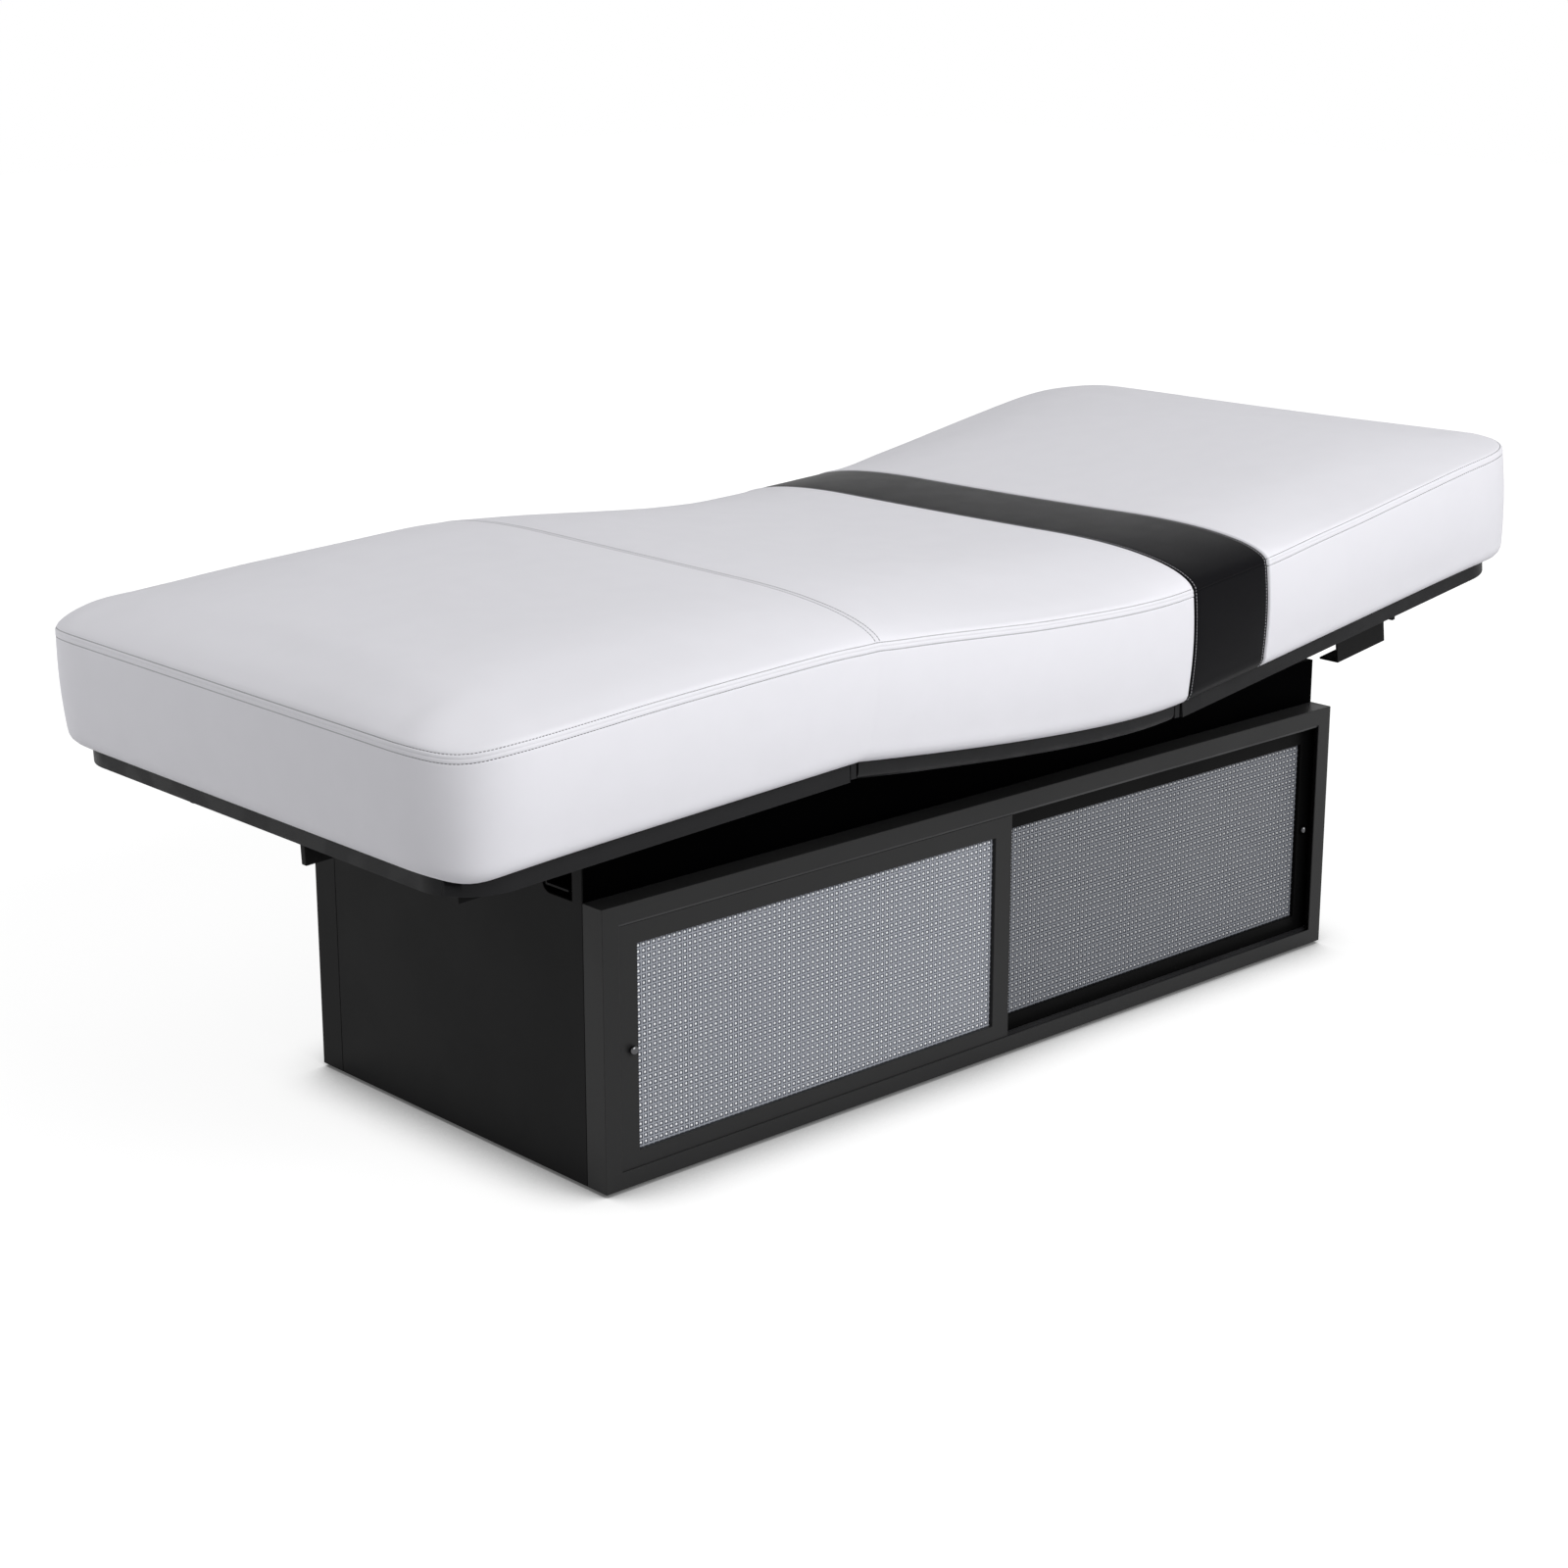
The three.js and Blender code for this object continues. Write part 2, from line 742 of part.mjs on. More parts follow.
function liftFrame() {
  const plates = [-columnX, columnX].map((x) => block(
    around(x, columnPlateHalf), both(railOuter), [columnPlateBottom, railBottom + weld]));
  const endBars = [-endBarX, endBarX].map((x) => block(
    around(x, endBarHalf), both(railInner + weld), [railBottom, railBottom + endBarHeight]));
  const barStart = seatStart + cradleBarInset;
  const barEnd = seatEnd - cradleBarInset;
  return join(
    ...frameRail(-1),
    ...frameRail(1),
    ...plates,
    ...endBars,
    cradle(-1),
    cradle(1),
    cradleBar([barStart, barStart + cradleBarWidth]),
    cradleBar([barEnd - cradleBarWidth, barEnd]),
    ...restPost(-endBarX, legRestUnderside - fit),
    ...restPost(endBarX, backFlatUnderside - fit),
    driveBracket(backLine),
    driveBracket(legLine),
  );
}

place('lift_frame', liftFrame(), material.powderCoat);

// Boards

function seatBoard() {
  const top = seatLine(seatStart, seatEnd, 0);
  const under = seatLine(seatStart, seatEnd, board).reverse();
  return alongY(shapeOf([...top, ...under]), both(boardHalf));
}

// A board in its own group: it starts near the hinge and has two round corners at its end
function endBoard(direction, length) {
  const shape = new THREE.Shape();
  const straight = length - boardCorner;
  const side = boardHalf - boardCorner;
  shape.moveTo(direction * hingeGap, -boardHalf);
  shape.lineTo(direction * straight, -boardHalf);
  if (direction > 0) {
    shape.absarc(straight, -side, boardCorner, -Math.PI / 2, 0, false);
    shape.absarc(straight, side, boardCorner, 0, Math.PI / 2, false);
  } else {
    shape.absarc(-straight, -side, boardCorner, -Math.PI / 2, -Math.PI, true);
    shape.absarc(-straight, side, boardCorner, Math.PI, Math.PI / 2, true);
  }
  shape.lineTo(direction * hingeGap, boardHalf);
  return alongZ(shape, [-board, 0]);
}

place('seat_platform', seatBoard(), material.boardVinyl);
place('back_platform', endBoard(1, backBoardLength), material.boardVinyl, backGroup);
place('leg_platform', endBoard(-1, legBoardLength), material.boardVinyl, legGroup);

// Hinges: two leaves with alternate knuckles on one pin. The axis is given in the
// coordinates of the group that the leaf lies in.

function hingeLeaf(axis, direction, remainder) {
  const pitch = (2 * hingeHalf) / knuckles;
  const plateX = [axis.x + direction * leaf.near, axis.x + direction * leaf.far];
  const plate = block(
    [Math.min(...plateX), Math.max(...plateX)], both(hingeHalf), [axis.z - leaf.depth, axis.z]);
  const own = [];
  const clear = [];
  for (let index = 0; index < knuckles; index += 1) {
    const start = pitch * index - hingeHalf;
    const y = [start + knuckleGap / 2, start + pitch - knuckleGap / 2];
    if (index % 2 === remainder) {
      own.push(rodY(knuckleRadius, axis.x, y, axis.z));
    } else {
      const room = [start - knuckleGap / 2, start + pitch + knuckleGap / 2];
      clear.push(rodY(knuckleRadius + leafClearance, axis.x, room, axis.z));
    }
  }
  const bore = rodY(hingeBore, axis.x, both(hingeHalf + overrun), axis.z, smallSides);
  return cut(join(plate, ...own), ...clear, bore);
}

function hingePin(axis) {
  return rodY(hingePinRadius, axis.x, both(hingeHalf), axis.z, smallSides);
}

// The axis lies one knuckle radius below the hinge line, which is square to the floor
const hipAxis = { x: hip.x, z: hipAxisZ };
const kneeAxis = { x: knee.x, z: kneeAxisZ };
const hipAxisLocal = { x: -knuckleRadius * sin(backSlope), z: -knuckleRadius * cos(backSlope) };
const kneeAxisLocal = { x: -knuckleRadius * sin(legSlope), z: -knuckleRadius * cos(legSlope) };
place('hip_hinge_seat_leaf', hingeLeaf(hipAxis, -1, 0), material.plated);
place('hip_hinge_back_leaf', hingeLeaf(hipAxisLocal, 1, 1), material.plated, backGroup);
place('hip_hinge_pin', hingePin(hipAxis), material.bright);
place('knee_hinge_seat_leaf', hingeLeaf(kneeAxis, 1, 0), material.plated);
place('knee_hinge_leg_leaf', hingeLeaf(kneeAxisLocal, -1, 1), material.plated, legGroup);
place('knee_hinge_pin', hingePin(kneeAxis), material.bright);

// Actuators

function actuator(line) {
  const x = [Math.min(line.tailX, line.noseX), Math.max(line.tailX, line.noseX)];
  const boreEnd = line.noseX - line.back * boreDepth;
  const boreStart = line.noseX + line.back * overrun;
  const bore = [Math.min(boreEnd, boreStart), Math.max(boreEnd, boreStart)];
  return cut(
    rodX(line.radius, x, line.y, line.pinZ),
    rodX(rodRadius + fit, bore, line.y, line.pinZ),
  );
}

function actuatorRod(line) {
  const tail = line.noseX - line.back * rodInside;
  const head = line.pinX - line.back * (yokeHalf.x - weld);
  const x = [Math.min(tail, head), Math.max(tail, head)];
  const z = line.pinZ - drivePinDrop;
  const depth = around(line.y, yokeHalf.y);
  const plate = block(around(line.pinX, yokeHalf.x), depth, around(z, yokeHalf.z));
  const slot = block(
    around(line.pinX, slotHalf.x),
    around(line.y, yokeHalf.y + overrun),
    around(z, slotHalf.z),
  );
  return cut(join(rodX(rodRadius, x, line.y, line.pinZ), plate), slot);
}

place('back_actuator', actuator(backLine), material.plastic);
place('back_actuator_rod', actuatorRod(backLine), material.bright);
place('leg_actuator', actuator(legLine), material.plastic);
place('leg_actuator_rod', actuatorRod(legLine), material.bright);

// Frames that carry the back board and the leg board, each with a lever for its actuator.
// The group's own coordinates run along the board from the hinge.

function leverPin(line, slope, axis) {
  const angle = line.leverAngle + line.back * slope;
  return {
    x: axis.x - line.back * leverArm * sin(angle),
    z: axis.z - leverArm * cos(angle),
  };
}

function lever(line, slope, axis, under) {
  const pin = leverPin(line, slope, axis);
  const root = [line.back * nearBar.start, line.back * (nearBar.start + nearBar.width)];
  const foot = under - nearBar.height / 2;
  const plates = [-1, 1].map((side) => {
    const y = side > 0
      ? [line.y + earInner, line.y + earInner + earThickness]
      : [line.y - earInner - earThickness, line.y - earInner];
    const arm = shapeOf([
      [pin.z + hubRadius, pin.x],
      [foot, root[0]],
      [foot, root[1]],
      [pin.z - hubRadius, pin.x],
    ]);
    return [alongY(arm, y), rodY(hubRadius, pin.x, y, pin.z)];
  });
  const pinY = around(line.y, earInner + earThickness);
  return [...plates.flat(), rodY(pinRadius, pin.x, pinY, pin.z)];
}

function boardFrame(line, slope, axis, tubeEnd) {
  const direction = line.back;
  const under = -board - fit;
  const span = (near, far) => (direction > 0 ? [near, far] : [-far, -near]);
  const tubeZ = [under - frameTubeHeight, under];
  const tubes = [-1, 1].map((side) => block(
    span(nearBar.start, tubeEnd),
    mirrored(side, frameTubeInner, frameTubeInner + frameTubeWidth),
    tubeZ,
  ));
  const near = block(
    span(nearBar.start, nearBar.start + nearBar.width),
    both(frameTubeInner + weld),
    [under - nearBar.height, under],
  );
  const farStart = tubeEnd - farBar.inset;
  const far = block(
    span(farStart, farStart + farBar.width), both(frameTubeInner + weld), tubeZ);
  return join(...tubes, near, far, ...lever(line, slope, axis, under));
}

const backFrame = boardFrame(backLine, backSlope, hipAxisLocal, backTubeEnd);
const legFrame = boardFrame(legLine, legSlope, kneeAxisLocal, legTubeEnd);
place('back_frame', backFrame, material.powderCoat, backGroup);
place('leg_frame', legFrame, material.powderCoat, legGroup);

// Channels and lugs under the boards

function armBracket(side) {
  const { start, end, inner, outer, height, wall } = armChannel;
  const top = -board - fit;
  const low = top - height;
  const width = mirrored(side, inner, outer);
  const web = mirrored(side, outer - wall, outer);
  const tab = block(
    [armTab.end - armTab.width, armTab.end],
    mirrored(side, outer - armTab.depth, outer),
    [top - armTab.drop, top],
  );
  return join(
    block([start, end], web, [low, top]),
    block([start, armTab.end], width, [top - wall, top]),
    block([start, end], width, [low, low + wall]),
    tab,
  );
}

for (const [side, sideName] of [[-1, 'front'], [1, 'rear']]) {
  place('arm_channel_' + sideName, armBracket(side), material.powderCoat, backGroup);
}

const lugTop = -board - fit;
const lug = block(
  [-footLug.end, footLug.length - footLug.end],
  [-footLug.outer, -footLug.inner],
  [lugTop - footLug.drop, lugTop],
);
const dome = new THREE.EllipseCurve(
  0, footBumper.radius - footBumper.length, footBumper.radius, footBumper.radius, 0, -Math.PI / 2, true);
const bumperPoints = [
  new THREE.Vector2(0, 0),
  new THREE.Vector2(footBumper.radius, 0),
  ...dome.getPoints(domeSteps).slice(0, -1),
  new THREE.Vector2(0, -footBumper.length),
];
const bumper = new THREE.LatheGeometry(bumperPoints.reverse(), smallSides)
  .rotateX(Math.PI / 2)
  .translate(-footBumper.end, footBumper.y, lugTop);
place('foot_lug', lug, material.powderCoat, legGroup);
place('foot_bumper', bumper, material.rubber, legGroup);

// Cushions. A ring is the outline square to the length: bottom, side, seam and crown.
// inset is how far the corner draws the ring in, and rise is the crown at its middle.

function girth(side, rise, inset) {
  const seam = seamHalf - inset;
  const bottom = bottomHalf - inset;
  const draw = seam - bottom;
  const half = [[bottom / 2, 0], [bottom - bottomEdge, 0], [bottom, bottomEdge]];
  sideShares.forEach(([out, up]) => half.push([bottom + out * draw, up * side]));
  half.push([seam, side]);
  crownShares.forEach((share) => {
    const swell = (1 - share ** crownPower) ** crownRoundness;
    half.push([share * seam, side + rise * swell]);
  });
  const right = half.map(([y, w]) => [y, w]);
  const left = half.map(([y, w]) => [-y, w]).reverse();
  return [...right, [0, side + rise], ...left];
}

// A closed skin over a row of rings, with a fan over each end
function loft(rings) {
  const count = rings[0].length;
  const positions = rings.flat(2);
  const centres = [rings[0], rings[rings.length - 1]].map((ring) => {
    const sum = ring.reduce((total, point) => total.map((value, axis) => value + point[axis]));
    return sum.map((value) => value / count);
  });
  positions.push(...centres.flat());
  const first = rings.length * count;
  const faces = [];
  for (let row = 0; row < rings.length - 1; row += 1) {
    for (let index = 0; index < count; index += 1) {
      const next = (index + 1) % count;
      const a = row * count + index;
      const b = row * count + next;
      faces.push(a, b, a + count, b, b + count, a + count);
    }
  }
  for (let index = 0; index < count; index += 1) {
    const next = (index + 1) % count;
    const last = (rings.length - 1) * count;
    faces.push(first, next, index, first + 1, last + index, last + next);
  }
  const geometry = new THREE.BufferGeometry();
  geometry.setAttribute('position', new THREE.Float32BufferAttribute(positions, 3));
  geometry.setIndex(faces);
  const solid = solidOf(geometry);
  if (solid.volume() < 0) {
    geometry.setIndex(faces.reverse());
  }
  geometry.computeVertexNormals();
  return geometry;
}

// Rings of the round free end, from the end face inwards
function freeEnd(end, direction, side, crown) {
  return endShares.map((share) => {
    const inward = share * cornerRadius;
    const reach = cornerRadius - inward;
    const inset = cornerRadius - Math.sqrt(cornerRadius ** 2 - reach ** 2);
    const rise = crown * (1 - (1 - inward / crownRun) ** crownPower) ** crownRoundness;
    const draw = endDraw * (1 - share);
    return girth(side, rise, inset).map(([y, w]) => {
      const drawn = draw * Math.max(0, 1 - w / side);
      return [direction * (end - inward - drawn), y, w + fit];
    });
  });
}

// Rings between two stations. A station gives the place, the lean, the side and the crown.
function between(from, to, steps, pointAt) {
  const rings = [];
  for (let step = 1; step <= steps; step += 1) {
    const share = step / steps;
    const station = {
      place: mix(from.place, to.place, share),
      lean: mix(from.lean, to.lean, share),
      side: mix(from.side, to.side, share),
      crown: mix(from.crown, to.crown, share),
    };
    rings.push(girth(station.side, station.crown, 0).map(([y, w]) => pointAt(station, y, w)));
  }
  return rings;
}

const onBoard = (station, y, w) => [station.place + station.lean * w, y, w + fit];
const onSeat = (station, y, w) => [
  station.place + station.lean * w, y, seatTop(station.place) + w + fit];
const foldLean = tan(foldSlope);
const freeSteps = 4;
const foldSteps = 2;

function legPad() {
  const rings = freeEnd(legCushion.end, -1, legCushion.side, legCushion.crown);
  const start = { place: cornerRadius - legCushion.end, lean: 0, ...legCushion };
  const turn = { place: -crownRun, lean: 0, side: kneeSide, crown: legCushion.crown };
  const end = { ...turn, place: -foldHalf, lean: -foldLean };
  rings.push(...between(start, turn, freeSteps, onBoard), ...between(turn, end, foldSteps, onBoard));
  return loft(rings);
}

function seatPad() {
  const crown = legCushion.crown;
  const start = { place: knee.x + foldHalf, lean: foldLean, side: kneeSide, crown };
  const turn = { place: knee.x + crownRun, lean: 0, side: kneeSide, crown };
  const end = { place: hip.x - bandStart - fit, lean: 0, side: hipSide, crown };
  const first = between(start, start, 1, onSeat);
  const rings = [
    ...first,
    ...between(start, turn, foldSteps, onSeat),
    ...between(turn, end, curveSteps, onSeat),
  ];
  return loft(rings);
}

// The fold fills the wedge between the leg cushion and the seat cushion
function kneeFold() {
  const reach = foldHalf - fit;
  const ring = girth(kneeSide, legCushion.crown, 0);
  const legEnd = ring.map(([y, w]) => {
    const along = -reach - foldLean * w;
    const up = w + fit;
    return [
      knee.x + along * cos(legSlope) - up * sin(legSlope),
      y,
      knee.z + along * sin(legSlope) + up * cos(legSlope),
    ];
  });
  const seatEndRing = ring.map(([y, w]) => [
    knee.x + reach + foldLean * w, y, seatTop(knee.x + foldHalf) + w + fit]);
  const middle = legEnd.map((point, index) => point.map(
    (value, axis) => mix(value, seatEndRing[index][axis], 0.5)));
  return loft([legEnd, middle, seatEndRing]);
}

function backPad() {
  const start = { place: bandEnd + fit, lean: 0, side: hipSide, crown: backCushion.crown };
  const end = { ...start, place: backCushion.end - cornerRadius };
  const rings = [...between(start, start, 1, onBoard), ...between(start, end, freeSteps, onBoard)];
  const round = freeEnd(backCushion.end, 1, backCushion.side, backCushion.crown).reverse();
  return loft([...rings, ...round.slice(1)]);
}

// The band turns from the upright end of the seat to the slope of the back
function waistBand() {
  const start = { x: hip.x - bandStart, z: seatTop(hip.x - bandStart) };
  const end = { x: hip.x + bandEnd * cos(backSlope), z: hip.z + bandEnd * sin(backSlope) };
  const rings = [];
  for (let step = 0; step <= freeSteps; step += 1) {
    const share = step / freeSteps;
    const angle = backSlope * share;
    const x = mix(start.x, end.x, share);
    const onSlope = hip.z + Math.max(0, x - hip.x) * tan(backSlope);
    const z = x < hip.x ? seatTop(x) : onSlope;
    const crown = mix(legCushion.crown, backCushion.crown, share);
    rings.push(girth(hipSide, crown, 0).map(([y, w]) => [
      x - (w + fit) * sin(angle), y, z + (w + fit) * cos(angle)]));
  }
  return loft(rings);
}

place('leg_cushion', legPad(), material.whiteVinyl, legGroup);
place('knee_fold', kneeFold(), material.whiteVinyl);
place('seat_cushion', seatPad(), material.whiteVinyl);
place('waist_band', waistBand(), material.blackVinyl);
place('back_cushion', backPad(), material.whiteVinyl, backGroup);

// The origin is on the floor under the middle of the whole table
const whole = new THREE.Group();
whole.add(table);
table.updateMatrixWorld(true);
const extent = new THREE.Box3().setFromObject(table, true);
table.position.set(-(extent.min.x + extent.max.x) / 2, -(extent.min.y + extent.max.y) / 2, 0);

export default whole;
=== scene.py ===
"""Treatment table: the visual model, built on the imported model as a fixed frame.

The metal parts are copies of the frame's parts with eased edges. The cushion is modelled as one
skin, inflated as cloth, drawn in at its seams and parted where the table bends.
Lengths are in metres.
"""

import bisect
from math import atan2, cos, hypot, pi, radians, sin, sqrt

import bmesh
import bpy
import numpy as np
from bpy.props import FloatProperty, FloatVectorProperty, IntProperty, PointerProperty
from mathutils import Matrix, Vector


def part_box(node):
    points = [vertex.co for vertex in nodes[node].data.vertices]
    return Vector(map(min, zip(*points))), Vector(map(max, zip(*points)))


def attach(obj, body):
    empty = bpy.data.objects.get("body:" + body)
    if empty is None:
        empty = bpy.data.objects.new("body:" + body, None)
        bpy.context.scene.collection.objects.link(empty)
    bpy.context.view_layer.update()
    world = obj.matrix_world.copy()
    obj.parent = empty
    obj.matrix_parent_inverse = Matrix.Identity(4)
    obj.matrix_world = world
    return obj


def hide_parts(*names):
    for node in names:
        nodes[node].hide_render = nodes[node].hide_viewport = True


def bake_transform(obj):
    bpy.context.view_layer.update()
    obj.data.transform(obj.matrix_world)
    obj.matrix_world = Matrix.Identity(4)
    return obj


bl_info = {
    "name": "Treatment Table",
    "version": (1, 0, 0),
    "blender": (4, 5, 0),
    "location": "3D View > Sidebar > Table",
    "description": "Finishes the frame of a treatment table and upholsters its top",
    "category": "Object",
}

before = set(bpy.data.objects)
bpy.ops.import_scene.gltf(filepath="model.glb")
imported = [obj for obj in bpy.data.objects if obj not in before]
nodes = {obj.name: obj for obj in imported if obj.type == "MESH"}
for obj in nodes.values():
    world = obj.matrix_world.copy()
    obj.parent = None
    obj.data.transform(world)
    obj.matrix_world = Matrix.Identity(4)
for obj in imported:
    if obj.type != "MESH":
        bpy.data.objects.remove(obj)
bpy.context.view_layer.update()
MM = 0.001


def centre_of(node):
    low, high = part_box(node)
    return (low + high) / 2


# The line of the boards: straight leg, sagging seat and straight back
KNUCKLE = 4.5 * MM
KNEE = centre_of("knee_hinge_pin") + Vector((0, 0, KNUCKLE))
HIP = centre_of("hip_hinge_pin") + Vector((0, 0, KNUCKLE))
DIP = HIP + Vector((-127.3, 0, -17.9)) * MM
LEG_SLOPE = radians(2.54)
BACK_SLOPE = radians(8)
LINE_STEPS = 400
SLOPE_REACH = 80 * MM
SLOPE_SAMPLES = 32

# Where the cushion starts, ends and changes along that line, measured from the knee
FOOT_END = -577 * MM
BACK_LENGTH = 714.5 * MM
BAND_BEFORE_HIP = 4 * MM
BAND_AFTER_HIP = 145 * MM
PARTING = 270 * MM

# Height of the side seam over the boards, and of the crown over the side seam, at lengths
# from the knee. Both in millimetres.
SEAM_HEIGHTS = [
    (-576, 137), (-455, 137.2), (-300, 139.6), (-138, 139.5), (-58, 138.6), (0, 136.2),
    (91, 139.6), (175, 141.3), (255, 142.3), (334, 144.1), (411, 145.2), (486, 146.4),
    (563, 147), (640, 145.5), (728, 143.9), (809, 145.6), (889, 146.4), (970, 148.3),
    (1051, 150.3), (1131, 151.9), (1202, 151.6), (1273, 151),
]
CROWN_HEIGHTS = [
    (-576, 40), (-300, 42), (0, 40), (144, 39), (404, 40), (549, 48), (698, 42), (852, 33),
    (1273, 18),
]
# How much lower the rear side lies than the front side, in millimetres
REAR_HEIGHTS = [
    (250, 0), (440, 5), (549, 11), (640, 15), (760, 18), (852, 15), (1130, 11), (1273, 13),
]
REAR_FULL = 100 * MM
REAR_POWER = 2.5

# How far the side seam dips at the corners of both ends
FOOT_DIP = 5 * MM
HEAD_DIP = 1.5 * MM

# A face that points further down than this is part of the underside
DOWNWARD = -0.8


def distance(name, description, millimetres):
    return FloatProperty(
        name=name, description=description, default=millimetres * MM, unit="LENGTH",
        subtype="DISTANCE")


def fraction(name, description, value):
    return FloatProperty(name=name, description=description, default=value, min=0, max=1)


def watts(name, description, value):
    return FloatProperty(name=name, description=description, default=value, unit="POWER")


def colour(name, description, value):
    return FloatVectorProperty(
        name=name, description=description, default=value, size=3, subtype="COLOR",
        min=0, max=1)


class CushionSettings(bpy.types.PropertyGroup):
    half_width: distance("Half width", "From the middle to the side seam", 419)
    corner: distance("Corner", "Length of the four rounded corners at the seam", 115)
    side_draw: distance("Side draw", "How far the long sides pull in towards the board", 16)
    end_draw: distance("End draw", "How far the ends pull in towards the board", 3)
    bulge: distance("Bulge", "How far the sides bulge half way up", 2.5)
    bottom_edge: distance("Bottom edge", "Radius of the edge that lies on the board", 22)
    mesh_step: distance("Mesh step", "Length of the cushion's faces away from the seams", 9)
    pressure: FloatProperty(
        name="Pressure", description="Air pressure that fills the cover", default=4.0)
    swell: distance("Swell", "The furthest that the cover moves as it fills", 5)


class SeamSettings(bpy.types.PropertyGroup):
    row_offset: distance("Side row offset", "From the side seam to each row of stitches", 5)
    knee_row_offset: distance(
        "Knee row offset", "From the knee seam to each row of stitches", 2.9)
    band_row_offset: distance(
        "Band row offset", "From the edge of the band to its stitches", 5)
    pitch: distance("Stitch pitch", "From one stitch to the next", 4.2)
    length: distance("Stitch length", "Length of a stitch", 3.3)
    thickness: distance("Thread thickness", "Width of a stitch", 1.15)


class MetalSettings(bpy.types.PropertyGroup):
    sheet_edge: distance("Sheet edge", "Radius of the edges of the cabinet's sheets", 0.8)
    board_edge: distance("Board edge", "Radius of the lower edge of the boards", 11)
    bead_pitch: distance("Bead pitch", "From one bead of the door sheet to the next", 7.7)
    bead_radius: distance("Bead radius", "Radius of a bead of the door sheet", 1.65)
    bead_height: distance("Bead height", "Height of a bead over the door sheet", 0.9)
    rib_width: distance("Rib width", "Width of the ribs between the beads", 1.5)
    bead_sides: IntProperty(
        name="Bead sides", description="Number of sides of a bead", default=8, min=5)


class ColourSettings(bpy.types.PropertyGroup):
    white_vinyl: colour("White vinyl", "Cushion cover", (0.802, 0.797, 0.84))
    black_vinyl: colour("Black vinyl", "Band round the waist", (0.0012, 0.0011, 0.002))
    board_vinyl: colour("Board vinyl", "Cover of the boards", (0.012, 0.012, 0.0128))
    powder_coat: colour("Powder coat", "Cabinet and frames", (0.004, 0.004, 0.0042))
    # Painted shade: a near-black coat for the panel over the doors, which lies in the boards'
    # shade
    inner_coat: colour("Coat in painted shade", "Panel over the doors", (0.0004, 0.0004, 0.0005))
    door_coat: colour("Door coat", "Doors and their frame", (0.019, 0.019, 0.0193))
    sheet: colour("Door sheet", "Ground of the door sheet", (0.085, 0.091, 0.112))
    rib: colour("Ribs", "Ribs of the door sheet", (0.36, 0.378, 0.42))
    # Painted highlight: the beads' near-white colour stands in for their glint
    bead: colour("Beads", "Beads of the door sheet", (0.95, 0.96, 0.98))
    # Painted shade: the right door's sheet, ribs, beads and frame are darker copies of the left
    # door's colours, by these shares
    shade: fraction("Shade", "Share of its sheet's colour that the right door shows", 0.56)
    frame_shade: fraction(
        "Frame shade", "Share of its coat's colour that the right door's frame shows", 0.12)
    knob: colour("Knobs", "Dark chrome of the door knobs", (0.11, 0.11, 0.115))
    bright_steel: colour("Bright steel", "Pins and rods", (0.62, 0.63, 0.65))
    plated_steel: colour("Plated steel", "Lift tubes and hinges", (0.46, 0.47, 0.48))
    plastic: colour("Plastic", "Housings and tracks", (0.014, 0.014, 0.0155))
    keys: colour("Keys", "Keys of the hand control", (0.16, 0.165, 0.175))
    rubber: colour("Rubber", "Glides and bumper", (0.012, 0.012, 0.012))
    thread: colour("Thread", "Stitches on the white cover", (0.03, 0.029, 0.034))
    band_thread: colour("Band thread", "Stitches on the band", (0.42, 0.415, 0.44))


class StageSettings(bpy.types.PropertyGroup):
    lens: FloatProperty(
        name="Lens", description="Focal length of the camera in millimetres", default=70.05)
    key: watts("Key lamp", "Power of the lamp in front of the doors", 108)
    top: watts("Top lamp", "Power of the lamp above", 9)
    foot: watts("Foot lamp", "Power of the lamp past the foot end", 26)
    ambient: fraction("Ambient", "Strength of the light from all sides", 0.4)
    floor: colour("Floor", "Colour of the floor", (0.56, 0.56, 0.565))
    floor_glow: fraction("Floor white", "White of the floor near the object", 0.86)
    floor_shade: fraction("Floor shade", "How much of the shadow the camera sees", 0.25)
    # Painted shadow: how far from the object ambient occlusion darkens the floor's glow
    contact: distance("Contact", "Reach of the dark shadow along the floor line", 130)


# Materials

def feed(tree, value, socket):
    """Links another socket to a socket, or sets it to a number or a colour."""
    if isinstance(value, bpy.types.NodeSocket):
        tree.links.new(value, socket)
    else:
        socket.default_value = value


def new_group(name, scale, outputs):
    """A node group with a Scale and those outputs, whose patterns lie on the object."""
    tree = bpy.data.node_groups.new(name, "ShaderNodeTree")
    scale_socket = tree.interface.new_socket(
        name="Scale", in_out="INPUT", socket_type="NodeSocketFloat")
    scale_socket.default_value = scale
    for label in outputs:
        tree.interface.new_socket(name=label, in_out="OUTPUT", socket_type="NodeSocketFloat")
    start = tree.nodes.new("NodeGroupInput")
    end = tree.nodes.new("NodeGroupOutput")
    place = tree.nodes.new("ShaderNodeTexCoord")
    return tree, start.outputs["Scale"], end, place.outputs["Object"]


def put_out(tree, end, **results):
    for label, socket in results.items():
        tree.links.new(socket, end.inputs[label])
    return tree


def noise(tree, place, scale, **values):
    node = tree.nodes.new("ShaderNodeTexNoise")
    tree.links.new(place, node.inputs["Vector"])
    feed(tree, scale, node.inputs["Scale"])
    for key, value in values.items():
        node.inputs[key].default_value = value
    return node.outputs["Fac"]


def maths(tree, operation, first, second):
    node = tree.nodes.new("ShaderNodeMath")
    node.operation = operation
    feed(tree, first, node.inputs[0])
    feed(tree, second, node.inputs[1])
    return node.outputs[0]


def plus(tree, first, second, share):
    """The first value and a share of the second."""
    return maths(tree, "ADD", first, maths(tree, "MULTIPLY", second, share))


